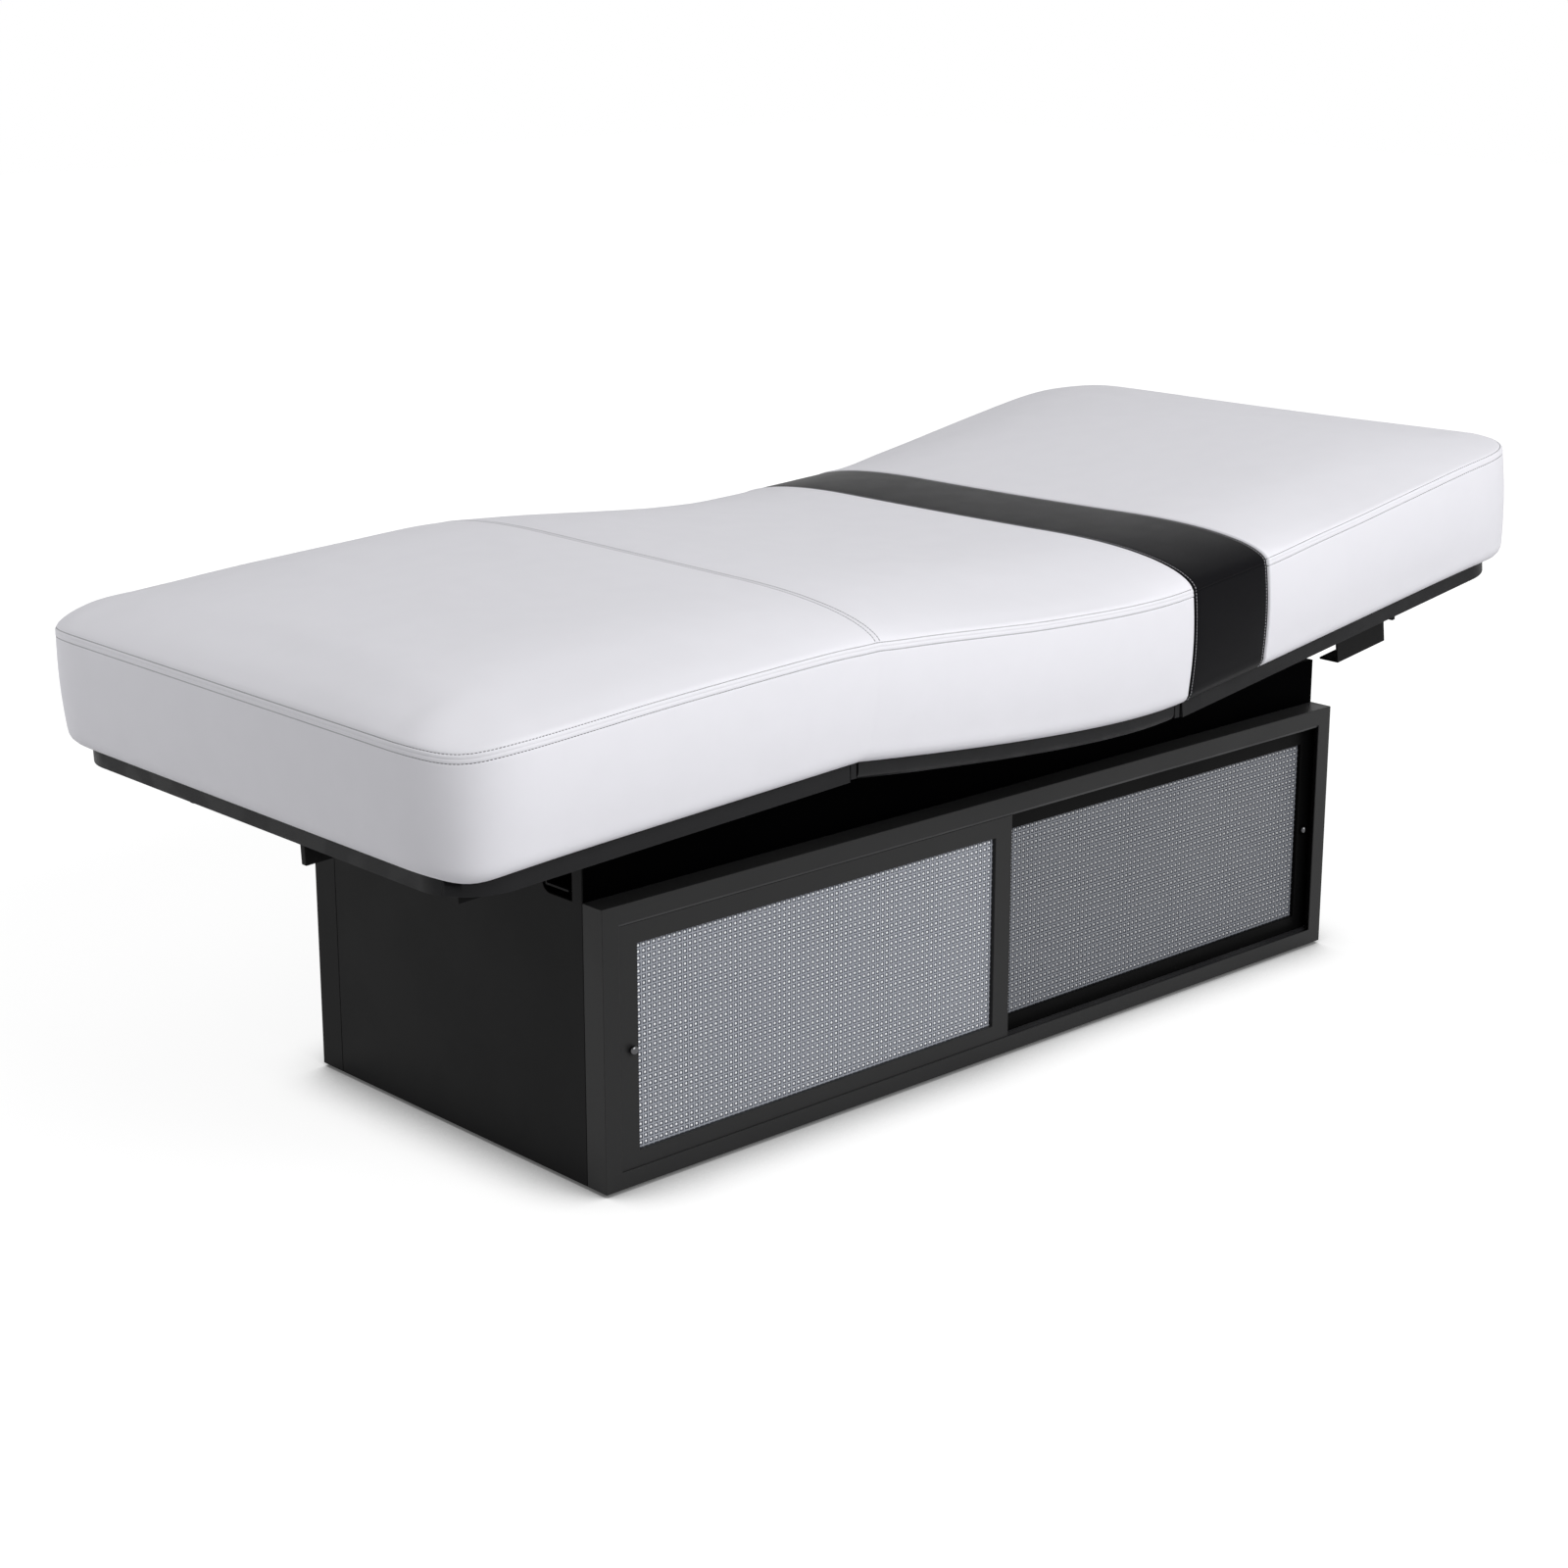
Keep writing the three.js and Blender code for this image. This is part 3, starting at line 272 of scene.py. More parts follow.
def spread(tree, value, low, high, to_low=0.0, to_high=1.0):
    """Spreads a range of a value smoothly over another range."""
    node = tree.nodes.new("ShaderNodeMapRange")
    node.interpolation_type = "SMOOTHSTEP"
    tree.links.new(value, node.inputs["Value"])
    for key, number in (("From Min", low), ("From Max", high),
                        ("To Min", to_low), ("To Max", to_high)):
        node.inputs[key].default_value = number
    return node.outputs["Result"]


def mixed(tree, mask, first, second):
    """The first colour, and the second where the mask is 1."""
    node = tree.nodes.new("ShaderNodeMix")
    node.data_type = "RGBA"
    for value, key in ((mask, "Factor"), (first, "A"), (second, "B")):
        feed(tree, value, node.inputs[key])
    return node.outputs["Result"]


def leather_grain():
    """Pebbles with creases between them, and slow changes of tone."""
    tree, scale, end, place = new_group("Leather Grain", 700.0, ["Height", "Tone", "Polish"])
    cells = tree.nodes.new("ShaderNodeTexVoronoi")
    cells.feature = "DISTANCE_TO_EDGE"
    cells.inputs["Randomness"].default_value = 0.9
    tree.links.new(place, cells.inputs["Vector"])
    tree.links.new(scale, cells.inputs["Scale"])
    crease = spread(tree, cells.outputs["Distance"], 0.0, 0.16)
    fine = noise(tree, place, 1500.0, Detail=2.0)
    broad = noise(tree, place, 3.1, Detail=3.0)
    patch = noise(tree, place, 26.0, Detail=4.0)
    tone = plus(tree, maths(tree, "MULTIPLY", broad, 0.6), patch, 0.4)
    return put_out(
        tree, end, Height=plus(tree, crease, fine, 0.35), Tone=spread(tree, tone, 0.36, 0.64),
        Polish=spread(tree, patch, 0.35, 0.65))


def coat_texture():
    """Orange peel of a baked powder coat, with patches of handling and fine dust."""
    tree, scale, end, place = new_group("Coat Texture", 650.0, ["Height", "Dust", "Polish"])
    peel = noise(tree, place, scale, Detail=1.5)
    fine = noise(tree, place, 2400.0, Detail=2.0)
    wide = noise(tree, place, 5.0, Detail=5.0, Roughness=0.6)
    specks = noise(tree, place, 900.0, Detail=3.0, Roughness=0.7)
    dust = maths(tree, "MULTIPLY", spread(tree, specks, 0.6, 0.72),
                 spread(tree, wide, 0.45, 0.7))
    return put_out(
        tree, end, Height=plus(tree, peel, fine, 0.3), Dust=dust,
        Polish=spread(tree, wide, 0.35, 0.65))


def drawn_lines():
    """Fine lines along X, as drawn or ground steel has."""
    tree, scale, end, place = new_group("Drawn Lines", 900.0, ["Height", "Polish"])
    stretch = tree.nodes.new("ShaderNodeMapping")
    stretch.inputs["Scale"].default_value = (0.04, 1.0, 1.0)
    tree.links.new(place, stretch.inputs["Vector"])
    lines = noise(tree, stretch.outputs["Vector"], scale, Detail=3.0)
    return put_out(tree, end, Height=lines, Polish=spread(tree, lines, 0.3, 0.7))


def placed_group(tree, make):
    """The shared group of that maker, made on its first use and placed in this material."""
    name = make.__name__.replace("_", " ").title()
    node = tree.nodes.new("ShaderNodeGroup")
    node.node_tree = bpy.data.node_groups.get(name) or make()
    return node


def new_material(name, **values):
    material = bpy.data.materials.new(name)
    material.use_nodes = True
    shader = material.node_tree.nodes["Principled BSDF"]
    for key, value in values.items():
        shader.inputs[key].default_value = value
    return material, material.node_tree, shader


def textured(name, make, mask, base, change, rough, relief, depth, scale=None, **values):
    """A material with the tone, the polish and the relief of a shared texture.

    The base colour is darker or lighter by the change where the texture's mask is 1.
    Also returns the material's node tree, its shader and its tone.
    """
    made, tree, shader = new_material(name, **values)
    grain = placed_group(tree, make)
    if scale:
        grain.inputs["Scale"].default_value = scale
    changed = (*(min(1.0, part * change) for part in base), 1)
    tone = mixed(tree, grain.outputs[mask], (*base, 1), changed)
    tree.links.new(tone, shader.inputs["Base Color"])
    tree.links.new(spread(tree, grain.outputs["Polish"], 0.0, 1.0, *rough),
                   shader.inputs["Roughness"])
    bump = tree.nodes.new("ShaderNodeBump")
    bump.inputs["Strength"].default_value = relief
    bump.inputs["Distance"].default_value = depth * MM
    tree.links.new(grain.outputs["Height"], bump.inputs["Height"])
    tree.links.new(bump.outputs["Normal"], shader.inputs["Normal"])
    return made, tree, shader, tone


def vinyl(name, base, rough, scale, relief, change, gloss):
    """Grained vinyl, with painted shade where a seam draws it in."""
    made, tree, shader, tone = textured(
        name, leather_grain, "Tone", base, change, rough, relief, 0.12, scale,
        **{"Specular IOR Level": gloss})
    pinch = tree.nodes.new("ShaderNodeAttribute")
    pinch.attribute_name = "pinch"
    # Painted shade in the seams: the colour darkens where the seam draws the cover in
    painted_seam_shade = maths(tree, "MULTIPLY", pinch.outputs["Fac"], 0.22)
    dark = (*(part * 0.35 for part in base), 1)
    tree.links.new(mixed(tree, painted_seam_shade, tone, dark), shader.inputs["Base Color"])
    return made


def coat(name, base, rough, relief, change, gloss=0.5):
    return textured(name, coat_texture, "Dust", base, change, rough, relief, 0.1,
                    **{"Specular IOR Level": gloss})[0]


def steel(name, base, rough, scale, relief):
    return textured(name, drawn_lines, "Polish", base, 0.86, rough, relief, 0.05, scale,
                    Metallic=1.0)[0]


def make_materials():
    """Each material by its key: colour, lowest and highest roughness, and its texture."""
    c = bpy.context.scene.table_colours
    coated, sheet, rib, bead = (0.38, 0.46), (0.45, 0.6), (0.40, 0.5), (0.25, 0.35)
    return {
        "white_vinyl": vinyl("White Vinyl", c.white_vinyl, (0.56, 0.60), 760, 0.10, 0.985, 0.10),
        "black_vinyl": vinyl("Black Vinyl", c.black_vinyl, (0.41, 0.43), 760, 0.2, 1.04, 0.052),
        "board_vinyl": vinyl("Board Vinyl", c.board_vinyl, (0.42, 0.54), 620, 0.30, 1.2, 0.1),
        "powder_coat": coat("Powder Coat", c.powder_coat, coated, 0.2, 2.2, 0.06),
        # Painted shade: the panel over the doors is coated near black and nearly matt for the
        # boards' shade
        "coat_in_painted_shade": coat("Inner Coat", c.inner_coat, (0.5, 0.58), 0.2, 1.5, 0.004),
        "door_coat": coat("Door Coat", c.door_coat, coated, 0.2, 1.6, 0.15),
        "perforated_sheet": coat("Door Sheet", c.sheet, sheet, 0.15, 1.3, 0.4),
        "rib": coat("Door Sheet Ribs", c.rib, rib, 0.1, 1.2),
        # Painted highlight: near-white beads for their glint
        "bead": coat("Door Sheet Beads", c.bead, bead, 0.05, 0.95),
        # Painted shade: the right door's looks are darker copies of the left door's
        "right_coat_in_painted_shade": coat("Right Door Coat", darkened(c.door_coat, c.frame_shade),
                           coated, 0.2, 1.6, 0.04),
        "right_sheet_in_painted_shade": coat("Right Door Sheet", darkened(c.sheet, c.shade),
                            sheet, 0.15, 1.3, 0.3),
        "right_rib_in_painted_shade": coat("Right Door Ribs", darkened(c.rib, c.shade), rib, 0.1, 1.2),
        "right_bead_in_painted_shade": coat("Right Door Beads", darkened(c.bead, c.shade), bead, 0.05, 0.95),
        "knob_chrome": steel("Dark Chrome", c.knob, (0.08, 0.14), 500, 0.03),
        "bright_steel": steel("Bright Steel", c.bright_steel, (0.10, 0.2), 500, 0.05),
        "plated_steel": steel("Plated Steel", c.plated_steel, (0.28, 0.45), 900, 0.2),
        "black_plastic": coat("Moulded Plastic", c.plastic, (0.42, 0.58), 0.4, 1.8),
        "key_plastic": coat("Key Plastic", c.keys, (0.40, 0.52), 0.3, 1.2),
        "black_rubber": coat("Rubber", c.rubber, (0.62, 0.8), 0.5, 2.5),
        "thread": coat("Grey Thread", c.thread, (0.55, 0.7), 0.6, 1.25),
        "band_thread": coat("Pale Thread", c.band_thread, (0.55, 0.7), 0.6, 0.85),
    }


# A colour in painted shade: that share of it
def darkened(base, share):
    return [part * share for part in base]


MATERIAL_NAMES = {}


def material(key):
    return bpy.data.materials[MATERIAL_NAMES[key]]


# Pieces

def link(name, mesh):
    piece = bpy.data.objects.new(name, mesh)
    bpy.context.scene.collection.objects.link(piece)
    return piece


def mesh_from(bm, name):
    mesh = bpy.data.meshes.new(name)
    bm.to_mesh(mesh)
    bm.free()
    return mesh


def piece_from(bm, name, look, smooth_angle=40):
    mesh = mesh_from(bm, name)
    mesh.polygons.foreach_set("use_smooth", [True] * len(mesh.polygons))
    if smooth_angle:
        mesh.set_sharp_from_angle(angle=radians(smooth_angle))
    mesh.materials.append(material(look))
    return link(name, mesh)


def merged_copy(node):
    """A copy of a frame part with its loose triangles joined into whole faces."""
    bm = bmesh.new()
    bm.from_mesh(nodes[node].data)
    bmesh.ops.remove_doubles(bm, verts=bm.verts, dist=0.001 * MM)
    bmesh.ops.dissolve_limit(
        bm, angle_limit=radians(0.4), verts=bm.verts, edges=bm.edges, delimit=set())
    for face in bm.faces:
        face.material_index = 0
    return bm


def round_edges(bm, edges, width, segments=2):
    bmesh.ops.bevel(
        bm, geom=edges, offset=width, offset_type="OFFSET", segments=segments,
        profile=0.5, affect="EDGES", clamp_overlap=True, material=-1)


def sharp_edges(bm, angle=32):
    return [e for e in bm.edges if e.is_manifold and e.calc_face_angle(0.0) > radians(angle)]


def add_block(bm, centre, size):
    bmesh.ops.create_cube(
        bm, size=1, matrix=Matrix.Translation(centre) @ Matrix.Diagonal((*size, 1)))


def stand_in(piece, node, body):
    """Puts a finished piece in the place of a frame part, on that part's body."""
    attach(piece, body)
    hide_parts(node)


def with_even_shading(piece):
    weights = piece.modifiers.new("Even shading", "WEIGHTED_NORMAL")
    weights.keep_sharp = True
    weights.weight = 100
    return piece


def ease(node, body, slot, width, look=None):
    """Puts a copy with eased edges in the place of a frame part."""
    bm = merged_copy(node)
    round_edges(bm, sharp_edges(bm), width)
    piece = piece_from(bm, node + "_eased", look or slot, smooth_angle=50)
    stand_in(with_even_shading(piece), node, body)


def finish_node(node, look):
    """Gives a frame part that stays as it is its material."""
    piece = nodes[node]
    piece.data.materials.clear()
    piece.data.materials.append(material(look))


# The line of the boards

def seat_line():
    """Rows of the seat's curve: length from the knee, place and slope."""
    rows = []
    length = 0.0
    last = KNEE
    for step in range(LINE_STEPS + 1):
        t = step / LINE_STEPS
        point = KNEE * (1 - t) ** 2 + DIP * 2 * t * (1 - t) + HIP * t ** 2
        length += (point - last).length
        last = point
        along = (DIP - KNEE) * 2 * (1 - t) + (HIP - DIP) * 2 * t
        rows.append((length, point.x, point.z, atan2(along.z, along.x)))
    return rows


SEAT_ROWS = seat_line()
SEAT_STARTS = [row[0] for row in SEAT_ROWS]
SEAT_LENGTH = SEAT_ROWS[-1][0]
HEAD_END = SEAT_LENGTH + BACK_LENGTH
BAND = (SEAT_LENGTH - BAND_BEFORE_HIP, SEAT_LENGTH + BAND_AFTER_HIP)


def board_line(s):
    """Place and slope of the boards' top at a length from the knee."""
    if s <= 0:
        return KNEE.x + s * cos(LEG_SLOPE), KNEE.z + s * sin(LEG_SLOPE), LEG_SLOPE
    if s >= SEAT_LENGTH:
        past = s - SEAT_LENGTH
        return HIP.x + past * cos(BACK_SLOPE), HIP.z + past * sin(BACK_SLOPE), BACK_SLOPE
    index = min(max(bisect.bisect(SEAT_STARTS, s), 1), LINE_STEPS)
    first, second = SEAT_ROWS[index - 1], SEAT_ROWS[index]
    share = (s - first[0]) / (second[0] - first[0])
    return tuple(first[k] + (second[k] - first[k]) * share for k in (1, 2, 3))


def mean_slope(s):
    """The slope that the cushion takes, which eases the corner at the knee."""
    step = 2 * SLOPE_REACH / SLOPE_SAMPLES
    offsets = [step * (k + 0.5) - SLOPE_REACH for k in range(SLOPE_SAMPLES)]
    return sum(board_line(s + offset)[2] for offset in offsets) / SLOPE_SAMPLES


def eased_value(rows, s):
    """A value between the rows of a table in millimetres, without corners."""
    at = s / MM
    xs = [row[0] for row in rows]
    ys = [row[1] for row in rows]
    if at <= xs[0]:
        return ys[0] * MM
    if at >= xs[-1]:
        return ys[-1] * MM
    k = bisect.bisect(xs, at) - 1
    slopes = []
    for index in (k, k + 1):
        low, high = max(index - 1, 0), min(index + 1, len(xs) - 1)
        slopes.append((ys[high] - ys[low]) / (xs[high] - xs[low]))
    width = xs[k + 1] - xs[k]
    t = (at - xs[k]) / width
    value = (ys[k] * (2 * t ** 3 - 3 * t ** 2 + 1) + ys[k + 1] * (3 * t ** 2 - 2 * t ** 3)
             + slopes[0] * width * (t ** 3 - 2 * t ** 2 + t)
             + slopes[1] * width * (t ** 3 - t ** 2))
    return value * MM


# Cushion skin, in millimetres where a list of steps runs along it

END_RUN = 150 * MM
END_POWER = 3
SIDE_RUN = 240 * MM
SIDE_POWER = 2.3
INNER = 12 * MM
CORNER_POWER = 2.5
DRAW_RUN = 220 * MM
DRAW_FADE = 0.6
DRAW_POWER = 1.6
ROW_STEP = 5.0
TOP_SHARES = [0.66, 0.33]
TOP_STEPS = [9, 6.6, 5.7, ROW_STEP, 4.3, 3.4, 2.4, 1.4, 0.6, 0]
SIDE_STEPS = [0.6, 1.4, 2.4, 3.4, 4.3, ROW_STEP, 5.7, 6.6, 9, 12]
SLOPE_ROWS = 40
# Stand for the length from the seam on the flat of the top and below the side's first rows
AWAY = 100 * MM
LOW_ROWS = -1
KNEE_STEPS = [0, 0.7, 1.5, 2.2, 2.9, 3.6, 5, 8]
EDGE_STEPS = [0, 0.7, 1.6, 2.8, 4.2, 5.0, 5.8, 8]
SIDE_ROWS = 13
EDGE_ROWS = 5
LIFT = 0.3 * MM
SAG = 2 * MM
CORNER_SAG = 5 * MM
UNDER_RUN = 60 * MM


def rise(way_in, run, power):
    """How full the cushion is at that length in from its seam, from 0 to 1."""
    return sqrt(1 - (1 - min(way_in, run) / run) ** power)


def end_rise(way_in):
    return rise(way_in, END_RUN, END_POWER)


def side_rise(way_in):
    return rise(way_in, SIDE_RUN, SIDE_POWER)


class Skin:
    """The cushion's cover as one closed mesh, with the places of its seams.

    a and b are lengths in from the nearer end and the nearer side, at the seam's level, and
    i and j are the numbers of a grid point's column and row.
    """

    def __init__(self, cushion):
        self.half = cushion.half_width
        self.corner = cushion.corner
        self.reach = self.corner - INNER
        self.side_draw = cushion.side_draw
        self.end_draw = cushion.end_draw
        self.bulge = cushion.bulge
        self.edge = cushion.bottom_edge
        self.step = cushion.mesh_step
        self.bm = bmesh.new()
        self.column_layer = self.bm.verts.layers.float.new("column")
        self.seam_layer = self.bm.verts.layers.float.new("seam")
        self.along = self.columns()
        self.across = self.rows()
        self.ring = self.boundary()
        self.sewn = {}
        self.build()

    def columns(self):
        """Places of the mesh columns along the boards, closer at the cross seams."""
        marks = [(0.0, KNEE_STEPS), (BAND[0], EDGE_STEPS), (BAND[1], EDGE_STEPS)]
        fixed = {FOOT_END + INNER, HEAD_END - INNER, PARTING}
        for centre, steps in marks:
            for step in steps:
                fixed.update((centre - step * MM, centre + step * MM))
        fixed = sorted(fixed)
        places = [fixed[0]]
        for low, high in zip(fixed, fixed[1:]):
            count = max(1, round((high - low) / self.step))
            places += [low + (high - low) * k / count for k in range(1, count + 1)]
        return places

    def rows(self):
        width = 2 * (self.half - INNER)
        count = round(width / self.step)
        return [INNER - self.half + width * k / count for k in range(count + 1)]

    def station(self, s, y, w):
        """A point at that length along the boards and that height over them."""
        x, z, _ = board_line(s)
        slope = mean_slope(s)
        rear = 1 - (max(0.0, self.half - y) / (2 * self.half)) ** REAR_POWER
        w -= eased_value(REAR_HEIGHTS, s) * rear * min(1.0, max(0.0, w) / REAR_FULL)
        return Vector((x - (w + LIFT) * sin(slope), y, z + (w + LIFT) * cos(slope)))

    def inset(self, i, j):
        """A grid point's lengths in from the nearer end and side, and the signs of both."""
        s, y = self.along[i], self.across[j]
        foot, head = s - FOOT_END, HEAD_END - s
        a, end = (foot, -1) if foot < head else (head, 1)
        return a, self.half - abs(y), end, -1 if y < 0 else 1

    def on_plan(self, x_in, y_in, end, side):
        """Place along the boards and across them, from lengths in from that end and side."""
        place = FOOT_END + x_in if end < 0 else HEAD_END - x_in
        return place, side * (self.half - y_in)

    def corner_place(self, a, b):
        """Rounds the corners of the plan. Returns the place in a corner's square, the
        way outwards and how far out of the corner's middle it is, 1 at the grid's edge."""
        p = min(1.0, (self.corner - a) / self.reach)
        q = min(1.0, (self.corner - b) / self.reach)
        if p <= 0 or q <= 0:
            return None
        n = CORNER_POWER
        across = p * (1 - q ** n / 2) ** (1 / n)
        up = q * (1 - p ** n / 2) ** (1 / n)
        way = (across ** (n - 1), up ** (n - 1))
        away = hypot(*way)
        out = (p ** n + q ** n - p ** n * q ** n) ** (1 / n)
        return across, up, (way[0] / away, way[1] / away), out

    def crown(self, a, b, s, rim=None):
        """Height over the side seam, or at that length in from it at the grid's edge."""
        corner = self.corner_place(a, b)
        if corner:
            _, _, way, out = corner
            d = self.corner - self.reach * out if rim is None else rim
            share = way[0] ** 2
            fill = ((end_rise(d) * side_rise(self.corner)) ** share
                    * (side_rise(d) * end_rise(self.corner)) ** (1 - share))
        elif rim is None:
            fill = end_rise(a) * side_rise(b)
        elif b < a:
            fill = end_rise(a) * side_rise(rim)
        else:
            fill = end_rise(rim) * side_rise(b)
        return eased_value(CROWN_HEIGHTS, s) * fill

    def seam_height(self, place, a, b, end):
        """The seam's height, which dips at the corners."""
        height = eased_value(SEAM_HEIGHTS, place)
        corner = self.corner_place(a, b)
        if corner:
            _, _, way, out = corner
            dip = FOOT_DIP if end < 0 else HEAD_DIP
            height -= dip * 4 * (way[0] * way[1]) ** 2 * out ** 4
        return height

    def plan(self, a, b):
        """Lengths in from the end and the side after the corner is rounded, and the way out."""
        corner = self.corner_place(a, b)
        if not corner:
            return a, b, (0.0, 1.0) if b < a else (1.0, 0.0)
        across, up, way, _ = corner
        return self.corner - self.reach * across, self.corner - self.reach * up, way

    def boundary(self):
        """Column and row numbers round the edge of the grid, in order."""
        last_i, last_j = len(self.along) - 1, len(self.across) - 1
        ring = [(i, 0) for i in range(last_i)]
        ring += [(last_i, j) for j in range(last_j)]
        ring += [(i, last_j) for i in range(last_i, 0, -1)]
        ring += [(0, j) for j in range(last_j, 0, -1)]
        return ring

    def grid(self):
        count_i, count_j = len(self.along) - 1, len(self.across) - 1
        made = bmesh.ops.create_grid(self.bm, x_segments=count_i, y_segments=count_j, size=1)
        table = {}
        for vert in made["verts"]:
            i = round((vert.co.x + 1) / 2 * count_i)
            j = round((vert.co.y + 1) / 2 * count_j)
            table[i, j] = vert
        return table

    def put(self, vert, i, place, seam):
        vert.co = place
        vert[self.column_layer] = i
        vert[self.seam_layer] = seam

    def edge_point(self, i, j, out):
        """A point of the plan beyond the grid's edge, out from it by that length."""
        a, b, end, side = self.inset(i, j)
        x_in, y_in, way = self.plan(a, b)
        place, y = self.on_plan(x_in - way[0] * out, y_in - way[1] * out, end, side)
        return place, y, way, a, self.seam_height(place, a, b, end)

    def build(self):
        """Lays the top, then loop after loop down to the underside, and closes it."""
        bm = self.bm
        self.top = self.grid()
        for (i, j), vert in self.top.items():
            self.put(vert, i, self.top_point(i, j), AWAY)
        self.loops = [[self.top[key] for key in self.ring]]
        slopes = {key: self.rim_slope(*key) for key in self.ring}
        for step in TOP_SHARES + TOP_STEPS:
            self.lay_loop(self.rim_point, slopes, step)
            if step == ROW_STEP:
                self.sewn["above"] = self.loops[-1]
        for step in SIDE_STEPS:
            self.lay_loop(self.side_point, step * MM, 0)
            if step == ROW_STEP:
                self.sewn["below"] = self.loops[-1]
        for k in range(SIDE_ROWS):
            self.lay_loop(self.side_point, SIDE_STEPS[-1] * MM, (k + 1) / SIDE_ROWS)
        for k in range(EDGE_ROWS):
            self.lay_loop(self.bottom_point, pi / 2 * (k + 1) / EDGE_ROWS)
        under = self.grid()
        for (i, j), vert in under.items():
            self.put(vert, i, self.under_point(i, j), LOW_ROWS)
        faces = {face for vert in under.values() for face in vert.link_faces}
        bmesh.ops.reverse_faces(bm, faces=list(faces))
        rim = [under[key] for key in self.ring]
        bmesh.ops.weld_verts(bm, targetmap=dict(zip(rim, self.loops[-1])))
        bm.normal_update()
        if bm.calc_volume(signed=True) < 0:
            bmesh.ops.reverse_faces(bm, faces=bm.faces)
        bm.verts.index_update()

    def lay_loop(self, point, *values):
        """Extrudes the open edge once and puts its new points in place."""
        loop = self.loops[-1]
        edges = [self.bm.edges.get(pair) for pair in zip(loop, loop[1:] + loop[:1])]
        made = bmesh.ops.extrude_edge_only(self.bm, edges=edges)
        fresh = {item for item in made["geom"] if isinstance(item, bmesh.types.BMVert)}
        order = []
        for vert, (i, j) in zip(loop, self.ring):
            partners = [edge.other_vert(vert) for edge in vert.link_edges]
            order.append(next(v for v in partners if v in fresh))
            self.put(order[-1], i, *point(i, j, *values))
        self.loops.append(order)

    def top_point(self, i, j):
        a, b, end, side = self.inset(i, j)
        x_in, y_in, _ = self.plan(a, b)
        place, y = self.on_plan(x_in, y_in, end, side)
        return self.station(place, y, self.seam_height(place, a, b, end)
                            + self.crown(a, b, place))

    def rim_slope(self, i, j):
        """How the top rises from the seam to the grid's edge: insets, rises and lengths."""
        place = self.edge_point(i, j, INNER)[0]
        a, b, _, _ = self.inset(i, j)
        insets = [INNER * (k / SLOPE_ROWS) ** 2 for k in range(SLOPE_ROWS + 1)]
        rises = [self.crown(a, b, place, inset) for inset in insets]
        lengths = [0.0]
        for k in range(SLOPE_ROWS):
            lengths.append(lengths[-1] + hypot(insets[k + 1] - insets[k],
                                               rises[k + 1] - rises[k]))
        return insets, rises, lengths

    def rim_point(self, i, j, slopes, step):
        """A point between the grid's edge and the seam, and its length from the seam."""
        insets, rises, lengths = slopes[i, j]
        first = TOP_STEPS[0] * MM
        arc = first + (lengths[-1] - first) * step if step in TOP_SHARES else step * MM
        inset = float(np.interp(arc, lengths, insets))
        place, y, _, _, height = self.edge_point(i, j, INNER - inset)
        return self.station(place, y, height + float(np.interp(arc, lengths, rises))), arc

    def inward(self, way, a, share):
        """How far the side lies in from the seam at a share of the way down. The long
        sides pull in less towards the ends."""
        fade = 1 - DRAW_FADE * (1 - min(a, DRAW_RUN) / DRAW_RUN) ** 2
        draw = self.side_draw * fade * way[1] ** 3 + self.end_draw * way[0] ** 2
        return draw * share ** DRAW_POWER - self.bulge * sin(pi * min(share, 1.0))

    def sag(self, way):
        """How far the lower edge hangs below the board, most at the corners."""
        return SAG + CORNER_SAG * 4 * (way[0] * way[1]) ** 2

    def side_point(self, i, j, depth, share):
        """A point that deep under the seam, or a share of the way from there to the edge."""
        _, _, way, a, height = self.edge_point(i, j, INNER)
        down = depth + (height - self.edge + self.sag(way) - depth) * share
        place, y, _, _, _ = self.edge_point(i, j, INNER - self.inward(way, a, down / height))
        return self.station(place, y, height - down), LOW_ROWS if share else -depth

    def bottom_point(self, i, j, angle):
        """A point of the rounded lower edge."""
        _, _, way, a, height = self.edge_point(i, j, INNER)
        share = (height - self.edge + self.sag(way)) / height
        inward = self.inward(way, a, share) + self.edge * (1 - cos(angle))
        place, y, _, _, _ = self.edge_point(i, j, INNER - inward)
        return self.station(place, y, self.edge * (1 - sin(angle)) - self.sag(way)), LOW_ROWS

    def under_point(self, i, j):
        """A point of the flat underside, drawn in near the rim as far as its edge."""
        a, b, end, side = self.inset(i, j)
        x_in, y_in, way = self.plan(a, b)
        corner = self.corner_place(a, b)
        from_rim = (1 - corner[3]) * self.reach if corner else min(a, b) - INNER
        shift = self.inward(way, a, 1.0) + self.edge - INNER
        shift *= max(0.0, 1 - from_rim / UNDER_RUN)
        place, y = self.on_plan(x_in + way[0] * shift, y_in + way[1] * shift, end, side)
        return self.station(place, y, 0.0)


# Filling the cover

FILL_FRAMES = 20
HELD_REACH = 9.5 * MM
HELD_ABOVE_BOARD = 14 * MM
EVEN_ROUNDS = 14
STIFFNESS = 25
BENDING = 4


